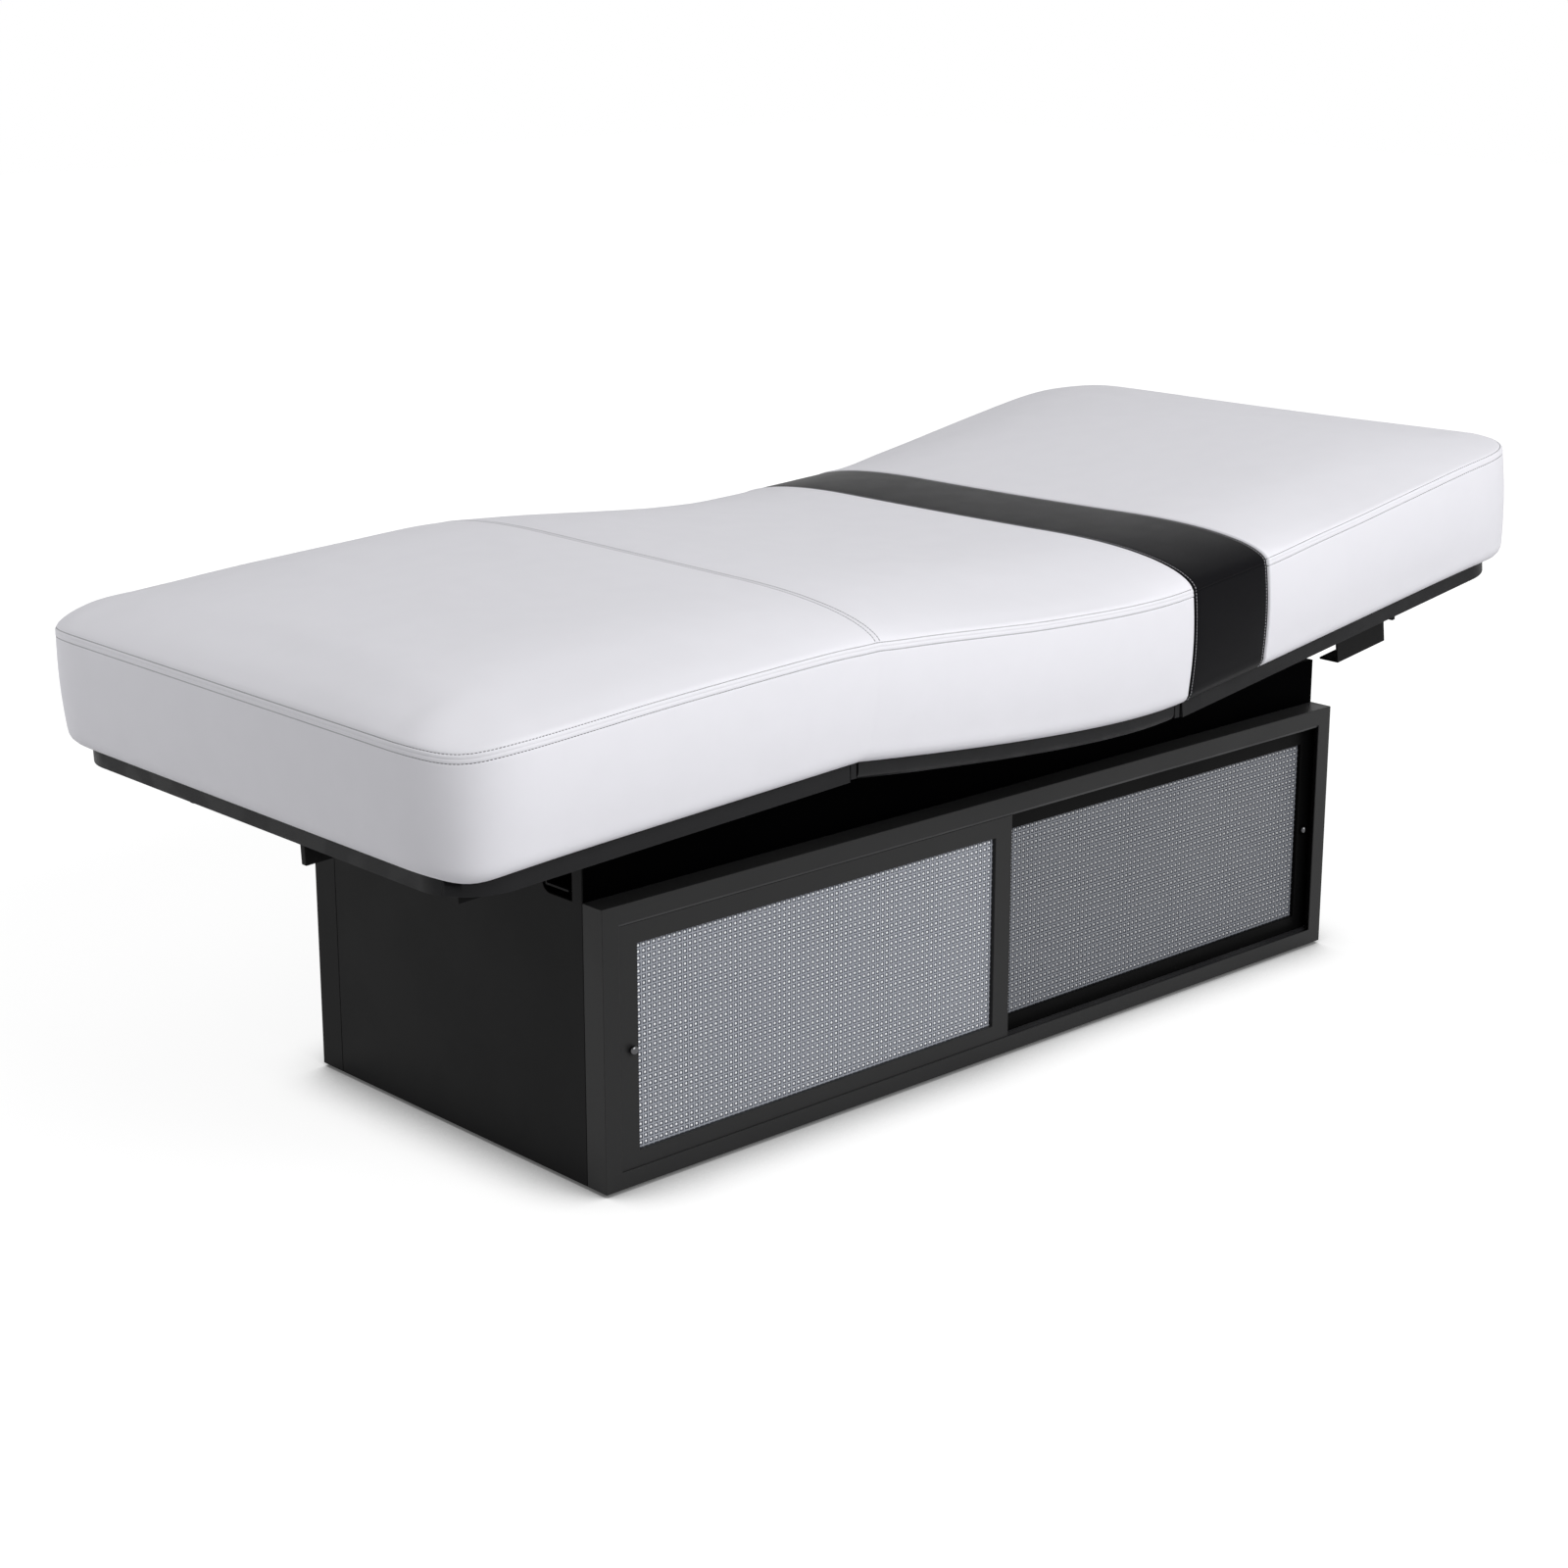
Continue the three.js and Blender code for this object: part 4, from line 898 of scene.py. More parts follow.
def fill_cover(skin, cushion, strips):
    """Runs the cover as cloth with air in it and returns how far each point moved. It is
    held near the side seam, at the underside and in the strips."""
    bm = skin.bm
    mesh = bpy.data.meshes.new("cover_fill")
    bm.to_mesh(mesh)
    cover = link("cover_fill", mesh)
    held = [vert.index for vert in bm.verts
            if abs(vert[skin.seam_layer]) <= HELD_REACH
            or vert.co.z < board_height(vert.co.x) + HELD_ABOVE_BOARD
            or vert.index in strips]
    cover.vertex_groups.new(name="held").add(held, 1.0, "REPLACE")
    cloth = cover.modifiers.new("Cloth", "CLOTH")
    fabric = cloth.settings
    fabric.use_pressure = True
    fabric.uniform_pressure_force = cushion.pressure
    fabric.vertex_group_mass = "held"
    fabric.effector_weights.gravity = 0
    fabric.quality = 4
    fabric.tension_stiffness = STIFFNESS
    fabric.compression_stiffness = STIFFNESS
    fabric.bending_stiffness = BENDING
    cloth.collision_settings.use_collision = False
    cloth.point_cache.frame_start = 1
    cloth.point_cache.frame_end = FILL_FRAMES
    scene = bpy.context.scene
    for number in range(1, FILL_FRAMES + 1):
        scene.frame_set(number)
    evaluated = cover.evaluated_get(bpy.context.evaluated_depsgraph_get())
    before, after = (np.empty(len(mesh.vertices) * 3) for _ in range(2))
    mesh.vertices.foreach_get("co", before)
    evaluated.data.vertices.foreach_get("co", after)
    scene.frame_set(1)
    bpy.data.objects.remove(cover)
    moved = evened((after - before).reshape(-1, 3), bm, held)
    size = np.linalg.norm(moved, axis=1)
    limit = cushion.swell * np.tanh(size / cushion.swell)
    share = np.divide(limit, size, out=np.zeros_like(size), where=size > 1e-9)
    return moved * share[:, None]


def evened(moved, bm, held):
    """Takes small creases out of the movement; the held points stay in place."""
    edges = np.array([[vert.index for vert in edge.verts] for edge in bm.edges])
    links = np.bincount(edges.ravel(), minlength=len(moved))[:, None]
    for _ in range(EVEN_ROUNDS):
        total = np.zeros_like(moved)
        np.add.at(total, edges[:, 0], moved[edges[:, 1]])
        np.add.at(total, edges[:, 1], moved[edges[:, 0]])
        moved = (moved + total / links) / 2
        moved[held] = 0
    return moved


def board_height(x):
    """Height of the boards' top below a point, close enough to tell the underside."""
    if x < KNEE.x:
        return KNEE.z + (x - KNEE.x) * sin(LEG_SLOPE)
    if x > HIP.x:
        return HIP.z + (x - HIP.x) * sin(BACK_SLOPE)
    share = (x - KNEE.x) / (HIP.x - KNEE.x)
    return SEAT_ROWS[round(share * LINE_STEPS)][2]


# Drawing in the seams, with depths and widths in millimetres

SEAM_DEPTH = {"white": 0.55, "band": 1.0}
SEAM_WIDTH = 0.7
ROW_DEPTH = 0.65
FLAT_STRIP = 0.35
KNEE_DEPTH = 0.45
KNEE_ROW_DEPTH = 0.6
BAND_GROOVE = [(2.6, 0, 1.3), (-0.9, -3.0, 1.6), (0.5, 5.0, 0.8)]
# Depth in millimetres at which a seam's painted shade is full
FULL_PINCH = 1.2
KNEE_SEAM_STOP = 4
HELD_AT_BAND = 9
HELD_AT_KNEE = 6
TOP_STARTS = -0.5
UNDER = -100
FAR_FROM_SEAMS = 1e3


def bell(value, centre, width):
    return np.exp(-((value - centre) / width) ** 2)


def twin(value, centre, width):
    """A bell on each side of a seam."""
    return bell(value, centre, width) + bell(value, -centre, width)


class TABLE_OT_upholster(bpy.types.Operator):
    """Makes the cushion's cover, fills it, draws in its seams and parts it at the bends"""

    bl_idname = "treatment_table.upholster"
    bl_label = "Upholster the top"

    def execute(self, context):
        scene = context.scene
        cushion, seams = scene.table_cushion, scene.table_seams
        skin = Skin(cushion)
        bm = skin.bm
        columns = np.array([vert[skin.column_layer] for vert in bm.verts]).round().astype(int)
        from_seam = np.array([vert[skin.seam_layer] for vert in bm.verts]) / MM
        from_knee = np.array(skin.along)[columns] / MM
        from_edges = [from_knee - edge / MM for edge in BAND]
        near_band = np.minimum(*(abs(edge) for edge in from_edges)) < HELD_AT_BAND
        near_knee = (abs(from_knee) < HELD_AT_KNEE) & (from_seam > TOP_STARTS)
        strips = set(np.nonzero(near_band | near_knee)[0].tolist())
        moved = fill_cover(skin, cushion, strips)
        for vert in bm.verts:
            vert.co += Vector(moved[vert.index])
        bm.normal_update()
        depth = self.seam_depth(seams, from_seam, from_knee, from_edges)
        depth = np.where([vert.normal.z < DOWNWARD for vert in bm.verts], 0, depth)
        normals = [vert.normal.copy() for vert in bm.verts]
        for vert, normal in zip(bm.verts, normals):
            vert.co -= normal * float(depth[vert.index]) * MM
        bm.normal_update()
        # The seams' depth also gives the mask of their painted shade
        self.part(skin, columns, np.clip(depth / FULL_PINCH, 0, 1))
        sew(skin, seams)
        bm.free()
        return {"FINISHED"}

    def seam_depth(self, seams, from_seam, from_knee, from_edges):
        """How deep each point is drawn in by the seams and the rows of stitches."""
        side_row = seams.row_offset / MM
        knee_row = seams.knee_row_offset / MM
        in_band = (from_edges[0] > 0) & (from_edges[1] < 0)
        side = np.where(from_seam < UNDER, FAR_FROM_SEAMS, from_seam)
        depth = (np.where(in_band, SEAM_DEPTH["band"], SEAM_DEPTH["white"])
                 * bell(side, 0, SEAM_WIDTH))
        depth += ROW_DEPTH * twin(side, side_row, SEAM_WIDTH) * ~in_band
        depth -= FLAT_STRIP * (abs(side) < side_row) * ~in_band
        knee = (KNEE_DEPTH * bell(from_knee, 0, SEAM_WIDTH)
                + KNEE_ROW_DEPTH * twin(from_knee, knee_row, SEAM_WIDTH))
        depth += knee * (from_seam > KNEE_SEAM_STOP)
        for edge, way in zip(from_edges, (1, -1)):
            for deep, centre, width in BAND_GROOVE:
                depth += deep * bell(edge * way, centre, width)
        return depth

    def part(self, skin, columns, pinch):
        """Parts the skin into closed pieces that keep the whole skin's shading."""
        cuts = [0] + [skin.along.index(s) for s in (PARTING, *BAND)] + [len(skin.along) - 1]
        names = [
            ("leg_cover", ["leg_cushion", "knee_fold"], "white_vinyl", "leg"),
            ("seat_cover", ["seat_cushion"], "white_vinyl", "back"),
            ("band_cover", ["waist_band"], "black_vinyl", "back"),
            ("back_cover", ["back_cushion"], "white_vinyl", "back"),
        ]
        normals = {vert.index: vert.normal.copy() for vert in skin.bm.verts}
        for (name, stands_for, slot, body), low, high in zip(names, cuts, cuts[1:]):
            faces = [face for face in skin.bm.faces
                     if all(low <= columns[v.index] <= high for v in face.verts)]
            piece = self.piece(name, faces, normals, pinch, slot)
            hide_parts(*stands_for)
            bend_piece(piece)

    def piece(self, name, faces, normals, pinch, slot):
        """Copies those faces, closes their open ends and keeps the skin's normals."""
        part = bmesh.new()
        origin = part.verts.layers.int.new("origin")
        made = {}
        for face in faces:
            for vert in face.verts:
                if vert.index not in made:
                    made[vert.index] = part.verts.new(vert.co)
                    made[vert.index][origin] = vert.index
            part.faces.new([made[vert.index] for vert in face.verts])
        rim = [edge for edge in part.edges if edge.is_boundary]
        caps = bmesh.ops.edgeloop_fill(part, edges=rim)["faces"]
        caps = bmesh.ops.triangulate(part, faces=caps)["faces"]
        part.normal_update()
        part.faces.index_update()
        flat = {face.index for face in caps}
        origins = [vert[origin] for vert in part.verts]
        mesh = mesh_from(part, name)
        # The mask of the seams' painted shade, read by the vinyl's material
        attribute = mesh.attributes.new("pinch", "FLOAT", "POINT")
        attribute.data.foreach_set("value", [float(pinch[k]) for k in origins])
        mesh.polygons.foreach_set("use_smooth", [True] * len(mesh.polygons))
        shading = [None] * len(mesh.loops)
        for polygon in mesh.polygons:
            for k in polygon.loop_indices:
                skin_normal = normals[origins[mesh.loops[k].vertex_index]]
                shading[k] = polygon.normal if polygon.index in flat else skin_normal
        mesh.normals_split_custom_set(shading)
        mesh.materials.append(material(slot))
        return link(name, mesh)


def bend_piece(piece):
    """Bakes a piece's place into its mesh."""
    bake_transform(piece)


# Stitches

RUN_OF_STITCHES = 30
THREAD_HEIGHT = 0.36
THREAD_LIFT = 0.12
# How many loops a knee row runs down from the top, and how many a band row leaves out
KNEE_ROW_LOOPS = 4
BAND_ROW_STOP = 3


def resampled(points, normals, pitch):
    """Points a pitch apart along a row, each with its direction and normal."""
    result = []
    wanted = pitch / 2
    walked = 0.0
    for k in range(len(points) - 1):
        step = points[k + 1] - points[k]
        while step.length > 1e-9 and wanted <= walked + step.length:
            share = (wanted - walked) / step.length
            result.append((points[k].lerp(points[k + 1], share), step.normalized(),
                           normals[k].lerp(normals[k + 1], share).normalized()))
            wanted += pitch
        walked += step.length
    return result


def stitch_row(thread, verts, seams):
    """Lays stitches along a row, in short runs because long ones take Blender far longer."""
    points = [vert.co.copy() for vert in verts]
    normals = [vert.normal.copy() for vert in verts]
    places = resampled(points, normals, seams.pitch)
    size = Matrix.Diagonal(
        (seams.length / 2, seams.thickness / 2, seams.thickness * THREAD_HEIGHT, 1))
    for first in range(0, len(places), RUN_OF_STITCHES):
        run = bmesh.new()
        for place, along, normal in places[first:first + RUN_OF_STITCHES]:
            across = normal.cross(along).normalized()
            turn = Matrix((along, across, along.cross(across))).transposed().to_4x4()
            seat = place + normal * seams.thickness * THREAD_LIFT
            bmesh.ops.create_uvsphere(
                run, u_segments=6, v_segments=4, radius=1,
                matrix=Matrix.Translation(seat) @ turn @ size)
        join(thread, run)


def join(bm, other):
    """Adds one bmesh to another and frees it."""
    mesh = mesh_from(other, "joined")
    bm.from_mesh(mesh)
    bpy.data.meshes.remove(mesh)


def sew(skin, seams):
    """Lays the rows of stitches on the finished cover."""
    along = skin.along
    first, last, parting = (along.index(s) for s in (*BAND, PARTING))
    threads = {"leg_thread": ("leg", "thread"), "seat_thread": ("back", "thread"),
               "band_row_thread": ("back", "band_thread"), "back_thread": ("back", "thread")}
    meshes = {name: bmesh.new() for name in threads}
    ranges = {"leg_thread": (0, parting), "seat_thread": (parting, first),
              "back_thread": (last, len(along) - 1)}
    for loop in (skin.sewn["above"], skin.sewn["below"]):
        for name, (low, high) in ranges.items():
            for run in runs_between(loop, skin.ring, low, high):
                stitch_row(meshes[name], run, seams)
    for offset in (-seams.knee_row_offset, seams.knee_row_offset):
        row = cross_row(skin, nearest(along, offset), KNEE_ROW_LOOPS)
        stitch_row(meshes["leg_thread"], row, seams)
    for edge, way in zip(BAND, (1, -1)):
        column = nearest(along, edge + way * seams.band_row_offset)
        row = cross_row(skin, column, len(skin.loops) - BAND_ROW_STOP)
        stitch_row(meshes["band_row_thread"], row, seams)
    for name, (body, look) in threads.items():
        bend_piece(piece_from(meshes[name], name, look, smooth_angle=0))


def nearest(places, value):
    return min(range(len(places)), key=lambda k: abs(places[k] - value))


def runs_between(loop, ring, low, high):
    """The stretches of a ring whose columns lie between two numbers, in order."""
    inside = [low <= i <= high for i, _ in ring]
    count = len(loop)
    start = next(k for k in range(count) if not inside[k - 1] and inside[k])
    runs = []
    current = []
    for step in range(count + 1):
        k = (start + step) % count
        if step < count and inside[k]:
            current.append(loop[k])
        elif current:
            runs.append(current)
            current = []
    return runs


def cross_row(skin, column, depth):
    """Points of one column over the top and down both sides as far as that loop."""
    front = skin.ring.index((column, 0))
    rear = skin.ring.index((column, len(skin.across) - 1))
    down = [loop[front] for loop in skin.loops[:depth + 1]]
    up = [loop[rear] for loop in skin.loops[:depth + 1]]
    middle = [skin.top[column, j] for j in range(1, len(skin.across) - 1)]
    return down[::-1] + middle + up


# Cabinet, doors, lift and hand control

EASED_SHEETS = {
    "door_frame": "door_coat", "foot_end_panel": "powder_coat",
    "head_end_panel": "powder_coat", "back_panel": "powder_coat",
}
PLAIN_NODES = {
    "powder_coat": ("floor_plate", "storage_deck", "column_shroud"),
    "black_plastic": ("door_track_lower", "door_track_upper", "power_inlet"),
    "black_rubber": ("glide_foot_front", "glide_foot_rear", "glide_head_front",
                     "glide_head_rear", "foot_bumper"),
    "plated_steel": ("column_outer_foot", "column_outer_head", "column_middle_foot",
                     "column_middle_head", "column_inner_foot", "column_inner_head",
                     "hip_hinge_seat_leaf", "hip_hinge_back_leaf", "knee_hinge_seat_leaf",
                     "knee_hinge_leg_leaf"),
    "bright_steel": ("hip_hinge_pin", "knee_hinge_pin", "back_actuator_rod",
                     "leg_actuator_rod"),
}
# Frame part, its body, its look and the radius of its edges in millimetres
EASED_PARTS = [
    ("lift_motor_foot", "base", "black_plastic", 2.0),
    ("lift_motor_head", "base", "black_plastic", 2.0),
    ("control_box", "base", "black_plastic", 3.0),
    ("lift_frame", "lift", "powder_coat", 0.7),
    ("back_actuator", "lift", "black_plastic", 1.5),
    ("leg_actuator", "lift", "black_plastic", 1.5),
    ("back_frame", "back", "powder_coat", 1.5),
    ("leg_frame", "leg", "powder_coat", 1.5),
    ("arm_channel_front", "back", "powder_coat", 0.7),
    ("arm_channel_rear", "back", "powder_coat", 0.7),
    ("foot_lug", "leg", "powder_coat", 1.0),
    ("control_holder", "base", "black_plastic", 0.7),
    ("hand_control", "base", "black_plastic", 3.0),
    ("lift_key", "lift_rocker", "key_plastic", 0.8),
    ("back_key", "back_rocker", "key_plastic", 0.8),
    ("leg_key", "leg_rocker", "key_plastic", 0.8),
]
BOARDS = (("leg_platform", "leg"), ("seat_platform", "lift"), ("back_platform", "back"))

# Which edges of a board are eased: their angle in degrees, how far the sides beside them may
# lean up or down, how far along the boards a plain side may face, and the points of a round one
SHARP_ANGLE = 50
UPRIGHT = 0.6
CROSSWISE = 0.9
ROUNDED_SIDE = 30

# The strip of vinyl over a board gap: its width, height, drop, and room at both ends
GAP_FILL = 8.4 * MM
GAP_HEIGHT = 21 * MM
GAP_DROP = 7.5 * MM
GAP_INNER_ROOM = 6 * MM
GAP_OUTER_ROOM = 0.8 * MM

# A door knob's outline: radius and height as shares of its whole radius and length
KNOB_OUTLINE = [
    (0.0, 0.0), (0.62, 0.0), (0.62, 0.22), (0.9, 0.28), (1.0, 0.38), (1.0, 0.52),
    (0.93, 0.70), (0.78, 0.84), (0.55, 0.94), (0.28, 0.99), (0.0, 1.0),
]
# The looks of each door: frame, sheet, ribs and beads. The right door's are darker copies of the
# left's, a painted shade
DOOR_LOOKS = {
    "left": ("door_coat", "perforated_sheet", "rib", "bead"),
    "right": ("right_coat_in_painted_shade", "right_sheet_in_painted_shade", "right_rib_in_painted_shade", "right_bead_in_painted_shade"),
}
SHEET_MARGIN = 5.7 * MM
RIB_HEIGHT = 0.45 * MM
LEVEL_RIB_SHARE = 1.1


class TABLE_OT_finish_cabinet(bpy.types.Operator):
    """Eases the edges of the cabinet's sheets and coats them"""

    bl_idname = "treatment_table.finish_cabinet"
    bl_label = "Finish the cabinet"

    def execute(self, context):
        edge = context.scene.table_metal.sheet_edge
        for node, slot in EASED_SHEETS.items():
            ease(node, "base", slot, edge)
        # The panel over the doors gets the coat in painted shade
        ease("front_panel", "base", "powder_coat", edge, "coat_in_painted_shade")
        for look, names in PLAIN_NODES.items():
            for node in names:
                finish_node(node, look)
        return {"FINISHED"}


class TABLE_OT_finish_mechanism(bpy.types.Operator):
    """Eases and coats the lift, the frames, the actuators and the hand control"""

    bl_idname = "treatment_table.finish_mechanism"
    bl_label = "Finish the mechanism"

    def execute(self, context):
        for node, body, slot, edge in EASED_PARTS:
            ease(node, body, slot, edge * MM)
        return {"FINISHED"}


class TABLE_OT_wrap_boards(bpy.types.Operator):
    """Rounds the lower edges of the boards and covers them"""

    bl_idname = "treatment_table.wrap_boards"
    bl_label = "Wrap the boards"

    def execute(self, context):
        edge = context.scene.table_metal.board_edge
        for node, body in BOARDS:
            bm = merged_copy(node)
            bm.normal_update()
            lower = [e for e in sharp_edges(bm, SHARP_ANGLE) if self.is_lower(e)]
            round_edges(bm, lower, edge, segments=5)
            piece = piece_from(bm, node + "_wrapped", "board_vinyl", smooth_angle=50)
            stand_in(with_even_shading(piece), node, body)
        self.fill_gap("knee_gap_fold", "knee", "leg_platform", "leg")
        self.fill_gap("hip_gap_fold", "hip", "back_platform", "back")
        return {"FINISHED"}

    def is_lower(self, edge):
        """Whether an edge runs between the underside and an outer side of a board."""
        under = any(face.normal.z < DOWNWARD for face in edge.link_faces)
        sides = [face for face in edge.link_faces if abs(face.normal.z) < UPRIGHT]
        return under and any(
            abs(face.normal.x) < CROSSWISE or len(face.verts) > ROUNDED_SIDE for face in sides)

    def fill_gap(self, name, joint, board, body):
        """A strip of vinyl over the gap between two boards, at both long edges."""
        pin_low, pin_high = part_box(joint + "_hinge_pin")
        _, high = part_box(board)
        middle = (pin_low + pin_high) / 2
        bm = bmesh.new()
        inner = pin_high.y + GAP_INNER_ROOM
        outer = high.y - GAP_OUTER_ROOM
        for side in (-1, 1):
            add_block(bm, (middle.x, side * (inner + outer) / 2, middle.z - GAP_DROP),
                      (GAP_FILL, outer - inner, GAP_HEIGHT))
        bmesh.ops.subdivide_edges(bm, edges=bm.edges[:], cuts=3, use_grid_fill=True)
        piece = piece_from(bm, name, "board_vinyl")
        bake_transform(piece)


class TABLE_OT_hang_doors(bpy.types.Operator):
    """Eases the door frames, and presses ribs and beads into the door sheets"""

    bl_idname = "treatment_table.hang_doors"
    bl_label = "Hang the doors"

    def execute(self, context):
        metal = context.scene.table_metal
        for side, (frame_look, sheet, rib, bead) in DOOR_LOOKS.items():
            body = side + "_door"
            ease(body + "_frame", body, "door_coat", metal.sheet_edge, frame_look)
            self.knob(body)
            finish_node(body + "_mesh", sheet)
            self.relief(body, metal, rib, bead)
        return {"FINISHED"}

    def knob(self, body):
        """A turned knob: neck, flange and dome, spun round its axis."""
        node = body + "_knob"
        low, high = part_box(node)
        centre = (low + high) / 2
        radius = (high.x - low.x) / 2
        length = high.y - low.y
        bm = bmesh.new()
        verts = [bm.verts.new((centre.x + r * radius, high.y - h * length, centre.z))
                 for r, h in KNOB_OUTLINE]
        edges = [bm.edges.new(pair) for pair in zip(verts, verts[1:])]
        bmesh.ops.spin(
            bm, geom=verts + edges, cent=centre, axis=(0, 1, 0), angle=2 * pi, steps=32,
            use_merge=True)
        bmesh.ops.remove_doubles(bm, verts=bm.verts, dist=0.002 * MM)
        bmesh.ops.recalc_face_normals(bm, faces=bm.faces)
        stand_in(piece_from(bm, node + "_turned", "knob_chrome"), node, body)

    def relief(self, body, metal, rib, bead):
        """Ribs in a square net with a bead in each mesh, over the sheet's front."""
        low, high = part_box(body + "_mesh")
        x, z = ((low[k] + SHEET_MARGIN, high[k] - SHEET_MARGIN) for k in (0, 2))
        front = low.y
        pitch = metal.bead_pitch
        counts = [int((span[1] - span[0]) / pitch) for span in (x, z)]
        starts = [(span[0] + span[1] - count * pitch) / 2 for span, count in zip((x, z), counts)]
        beads = bmesh.new()
        bmesh.ops.create_uvsphere(
            beads, u_segments=metal.bead_sides, v_segments=4, radius=1,
            matrix=Matrix.Translation((starts[0] + pitch / 2, front, starts[1] + pitch / 2))
            @ Matrix.Diagonal((metal.bead_radius, metal.bead_height, metal.bead_radius, 1))
            @ Matrix.Rotation(pi / 2, 4, "X"))
        rear_half = [v for v in beads.verts if v.co.y > front + 0.01 * MM]
        bmesh.ops.delete(beads, geom=rear_half, context="VERTS")
        repeat(beads, (pitch, 0, 0), counts[0] - 1)
        repeat(beads, (0, 0, pitch), counts[1] - 1)
        ribs, level = bmesh.new(), bmesh.new()
        y = front - RIB_HEIGHT / 2
        add_block(ribs, (starts[0], y, (z[0] + z[1]) / 2),
                  (metal.rib_width, RIB_HEIGHT, z[1] - z[0]))
        repeat(ribs, (pitch, 0, 0), counts[0])
        add_block(level, ((x[0] + x[1]) / 2, y, starts[1]),
                  (x[1] - x[0], RIB_HEIGHT * LEVEL_RIB_SHARE, metal.rib_width))
        repeat(level, (0, 0, pitch), counts[1])
        join(ribs, level)
        for piece in (piece_from(beads, body + "_beads", bead, smooth_angle=0),
                      piece_from(ribs, body + "_ribs", rib)):
            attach(piece, body)


def repeat(bm, step, count):
    """Repeats the whole of a mesh that many times, a step further each time."""
    bmesh.ops.spin(
        bm, geom=bm.verts[:] + bm.edges[:] + bm.faces[:], cent=(0, 0, 0), axis=(0, 0, 1),
        dvec=step, angle=0, steps=count, use_duplicate=True)


# Stage

CAMERA_PLACE = (-2.63841, -2.75851, 1.41943)
CAMERA_AZIMUTH = -42.72
CAMERA_ELEVATION = 16.25
SENSOR_WIDTH = 36

# Place, target and size of each lamp, by the name of its power in the settings
LAMPS = {
    "key": ((0.2, -3.5, 2.5), (0, 0, 0.45), (3.0, 2.0)),
    "top": ((0.5, -0.7, 3.4), (0.1, 0, 0.5), (3.0, 2.0)),
    "foot": ((-3.0, 2.2, 1.3), (0, 0, 0.4), (2.0, 1.6)),
}
FLOOR_SIZE = 12
WHITE_NEAR, WHITE_FAR = 1.2, 2.2


def seen_from_camera(tree):
    """1 where the camera sees a surface itself or in metal or glass, and else 0."""
    path = tree.nodes.new("ShaderNodeLightPath")
    glossy = maths(tree, "MAXIMUM", path.outputs["Is Camera Ray"], path.outputs["Is Glossy Ray"])
    return maths(tree, "MAXIMUM", glossy, path.outputs["Is Transmission Ray"])


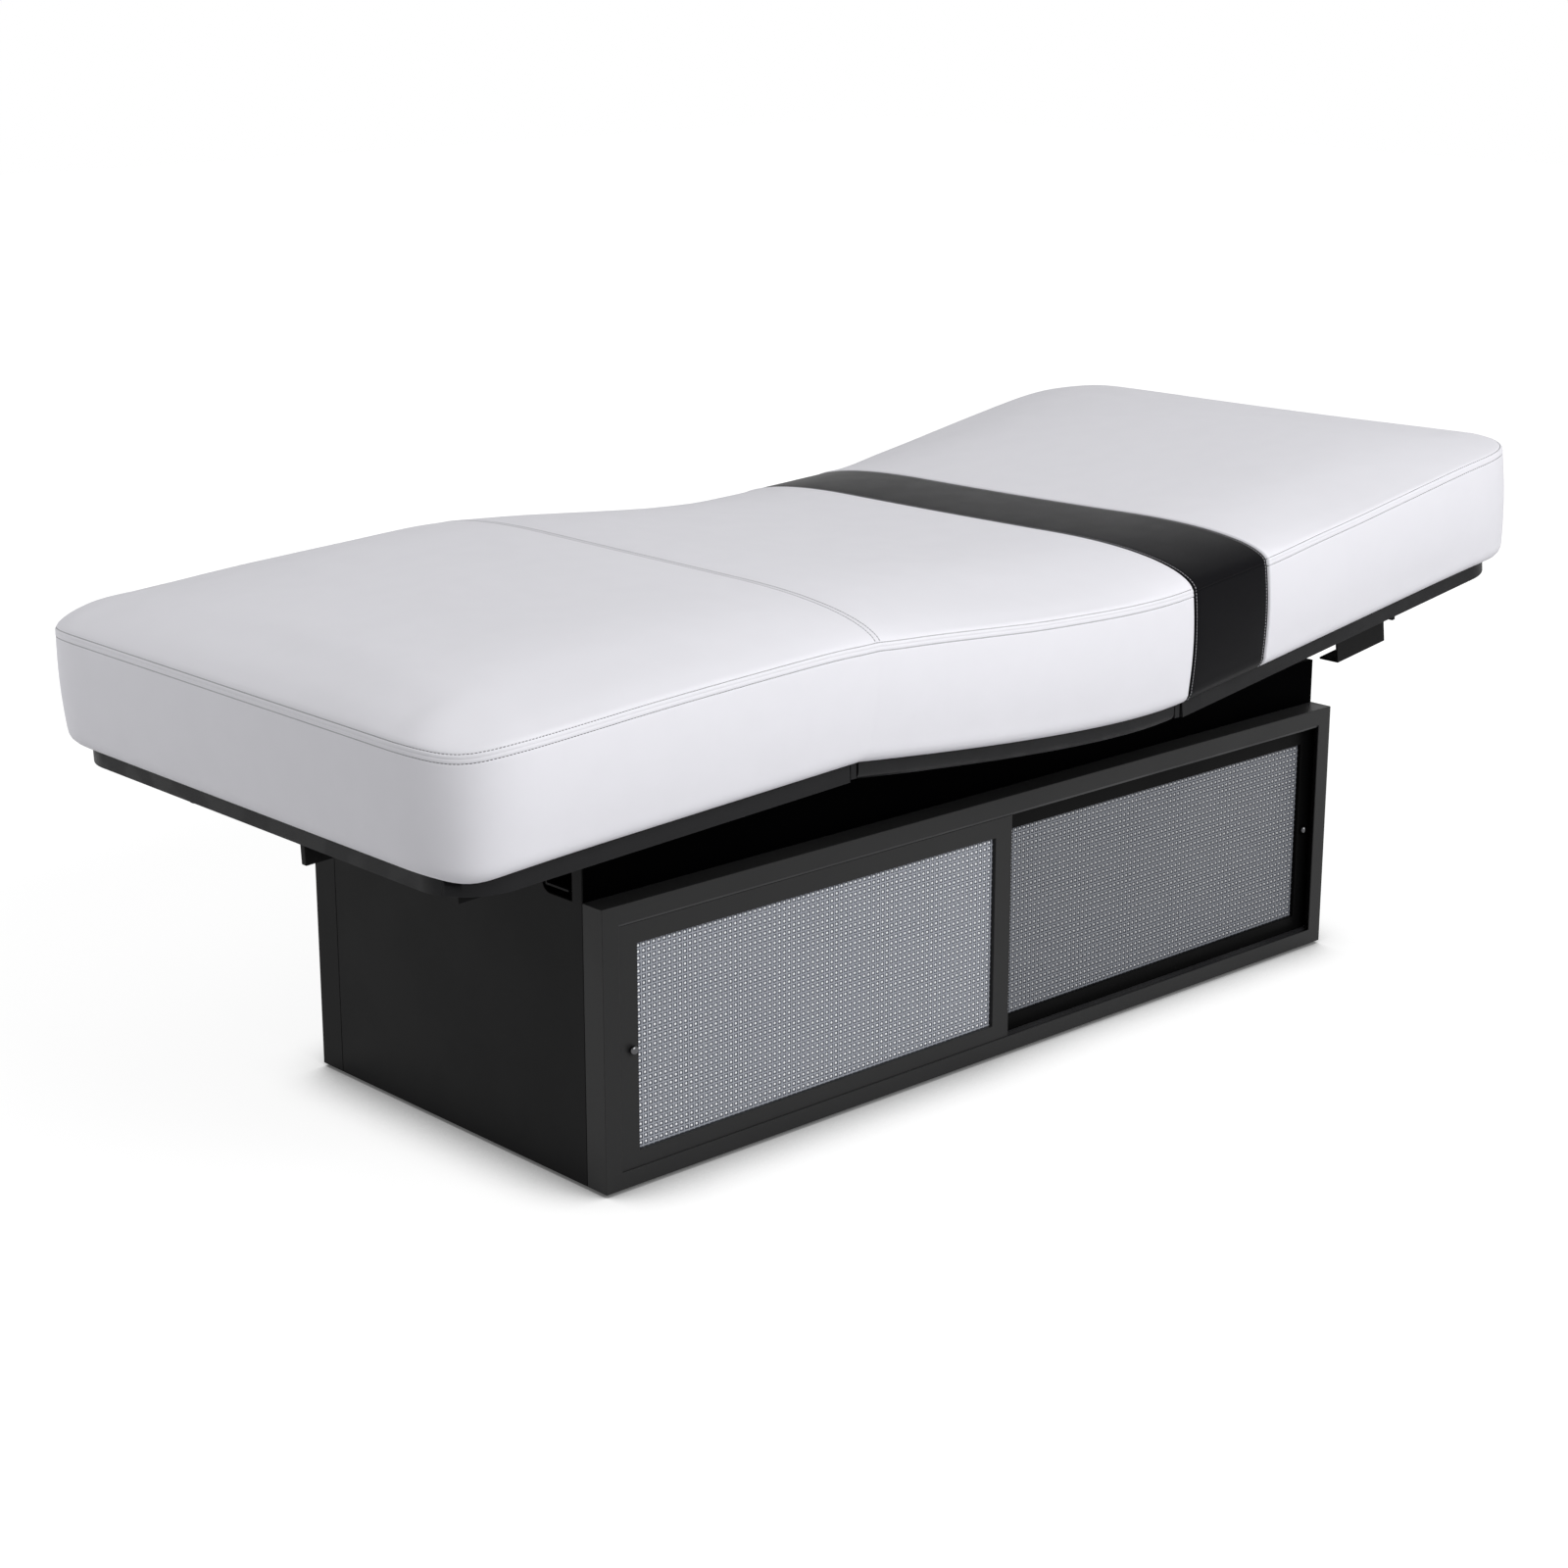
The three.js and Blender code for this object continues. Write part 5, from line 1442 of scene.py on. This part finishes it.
class TABLE_OT_set_stage(bpy.types.Operator):
    """Lays the floor and places the camera and the lamps"""

    bl_idname = "treatment_table.set_stage"
    bl_label = "Set the stage"

    def execute(self, context):
        scene = context.scene
        stage = scene.table_stage
        camera = link("camera", bpy.data.cameras.new("camera"))
        camera.location = CAMERA_PLACE
        camera.rotation_euler = (radians(90 - CAMERA_ELEVATION), 0, radians(CAMERA_AZIMUTH))
        camera.data.lens = stage.lens
        camera.data.sensor_width = SENSOR_WIDTH
        scene.camera = camera
        scene.view_settings.view_transform = "Standard"
        self.lay_floor(stage)
        self.light_world(scene, stage)
        for name, (place, target, size) in LAMPS.items():
            self.hang_lamp(name + "_lamp", place, target, size, getattr(stage, name))
        return {"FINISHED"}

    def hang_lamp(self, name, place, target, size, power):
        lamp = bpy.data.lights.new(name, "AREA")
        lamp.shape = "RECTANGLE"
        lamp.size, lamp.size_y = size
        lamp.energy = power
        piece = link(name, lamp)
        piece.location = place
        way = Vector(target) - Vector(place)
        piece.rotation_euler = way.to_track_quat("-Z", "Y").to_euler()

    def lay_floor(self, stage):
        """The floor, which the camera sees white but for the object's shadow: real shadow from
        the lamps, and a painted shadow near where the object stands.
        """
        bm = bmesh.new()
        bmesh.ops.create_grid(bm, x_segments=2, y_segments=2, size=FLOOR_SIZE)
        floor = link("floor", mesh_from(bm, "floor"))
        surface, tree, shader = new_material(
            "Studio Floor", **{"Roughness": 1.0, "Specular IOR Level": 0.0})
        seen = seen_from_camera(tree)
        shown = mixed(tree, seen, (*stage.floor, 1), (*[stage.floor_shade] * 3, 1))
        tree.links.new(shown, shader.inputs["Base Color"])
        place = tree.nodes.new("ShaderNodeTexCoord")
        away = tree.nodes.new("ShaderNodeVectorMath")
        away.operation = "LENGTH"
        tree.links.new(place.outputs["Object"], away.inputs[0])
        far = spread(tree, away.outputs["Value"], WHITE_NEAR, WHITE_FAR, stage.floor_glow, 1.0)
        # Painted shadow: ambient occlusion darkens the floor's glow close to the object
        painted_contact_shadow = tree.nodes.new("ShaderNodeAmbientOcclusion")
        painted_contact_shadow.inputs["Distance"].default_value = stage.contact
        white = maths(tree, "MULTIPLY", far,
                      spread(tree, painted_contact_shadow.outputs["AO"], 0.3, 0.95, 0.08, 1.0))
        shader.inputs["Emission Color"].default_value = (1, 1, 1, 1)
        tree.links.new(maths(tree, "MULTIPLY", seen, white), shader.inputs["Emission Strength"])
        floor.data.materials.append(surface)

    def light_world(self, scene, stage):
        """Even light from all sides, which the camera sees white."""
        world = bpy.data.worlds.new("Studio")
        scene.world = world
        world.use_nodes = True
        tree = world.node_tree
        background = tree.nodes["Background"]
        background.inputs["Color"].default_value = (1, 1, 1, 1)
        strength = plus(tree, stage.ambient, seen_from_camera(tree), 1 - stage.ambient)
        tree.links.new(strength, background.inputs["Strength"])


class TABLE_PT_panel(bpy.types.Panel):
    """Sizes and steps of the treatment table"""

    bl_idname = "TABLE_PT_panel"
    bl_label = "Treatment Table"
    bl_space_type = "VIEW_3D"
    bl_region_type = "UI"
    bl_category = "Table"

    def draw(self, context):
        for group in ("table_cushion", "table_seams", "table_metal", "table_colours",
                      "table_stage"):
            owner = getattr(context.scene, group)
            box = self.layout.box()
            for name in owner.__annotations__:
                box.prop(owner, name)
        for operator in OPERATORS:
            self.layout.operator(operator.bl_idname)


SETTINGS = {
    "table_cushion": CushionSettings, "table_seams": SeamSettings,
    "table_metal": MetalSettings, "table_colours": ColourSettings,
    "table_stage": StageSettings,
}
OPERATORS = (
    TABLE_OT_finish_cabinet, TABLE_OT_hang_doors, TABLE_OT_finish_mechanism,
    TABLE_OT_wrap_boards, TABLE_OT_upholster, TABLE_OT_set_stage,
)


def register():
    for cls in (*SETTINGS.values(), *OPERATORS, TABLE_PT_panel):
        bpy.utils.register_class(cls)
    for name, cls in SETTINGS.items():
        setattr(bpy.types.Scene, name, PointerProperty(type=cls))


def unregister():
    for name in SETTINGS:
        delattr(bpy.types.Scene, name)
    for cls in reversed((*SETTINGS.values(), *OPERATORS, TABLE_PT_panel)):
        bpy.utils.unregister_class(cls)


def main():
    register()
    for slot, made in make_materials().items():
        MATERIAL_NAMES[slot] = made.name
    bpy.ops.treatment_table.finish_cabinet()
    bpy.ops.treatment_table.hang_doors()
    bpy.ops.treatment_table.finish_mechanism()
    bpy.ops.treatment_table.wrap_boards()
    bpy.ops.treatment_table.upholster()
    bpy.ops.treatment_table.set_stage()


if __name__ == "__main__":
    main()
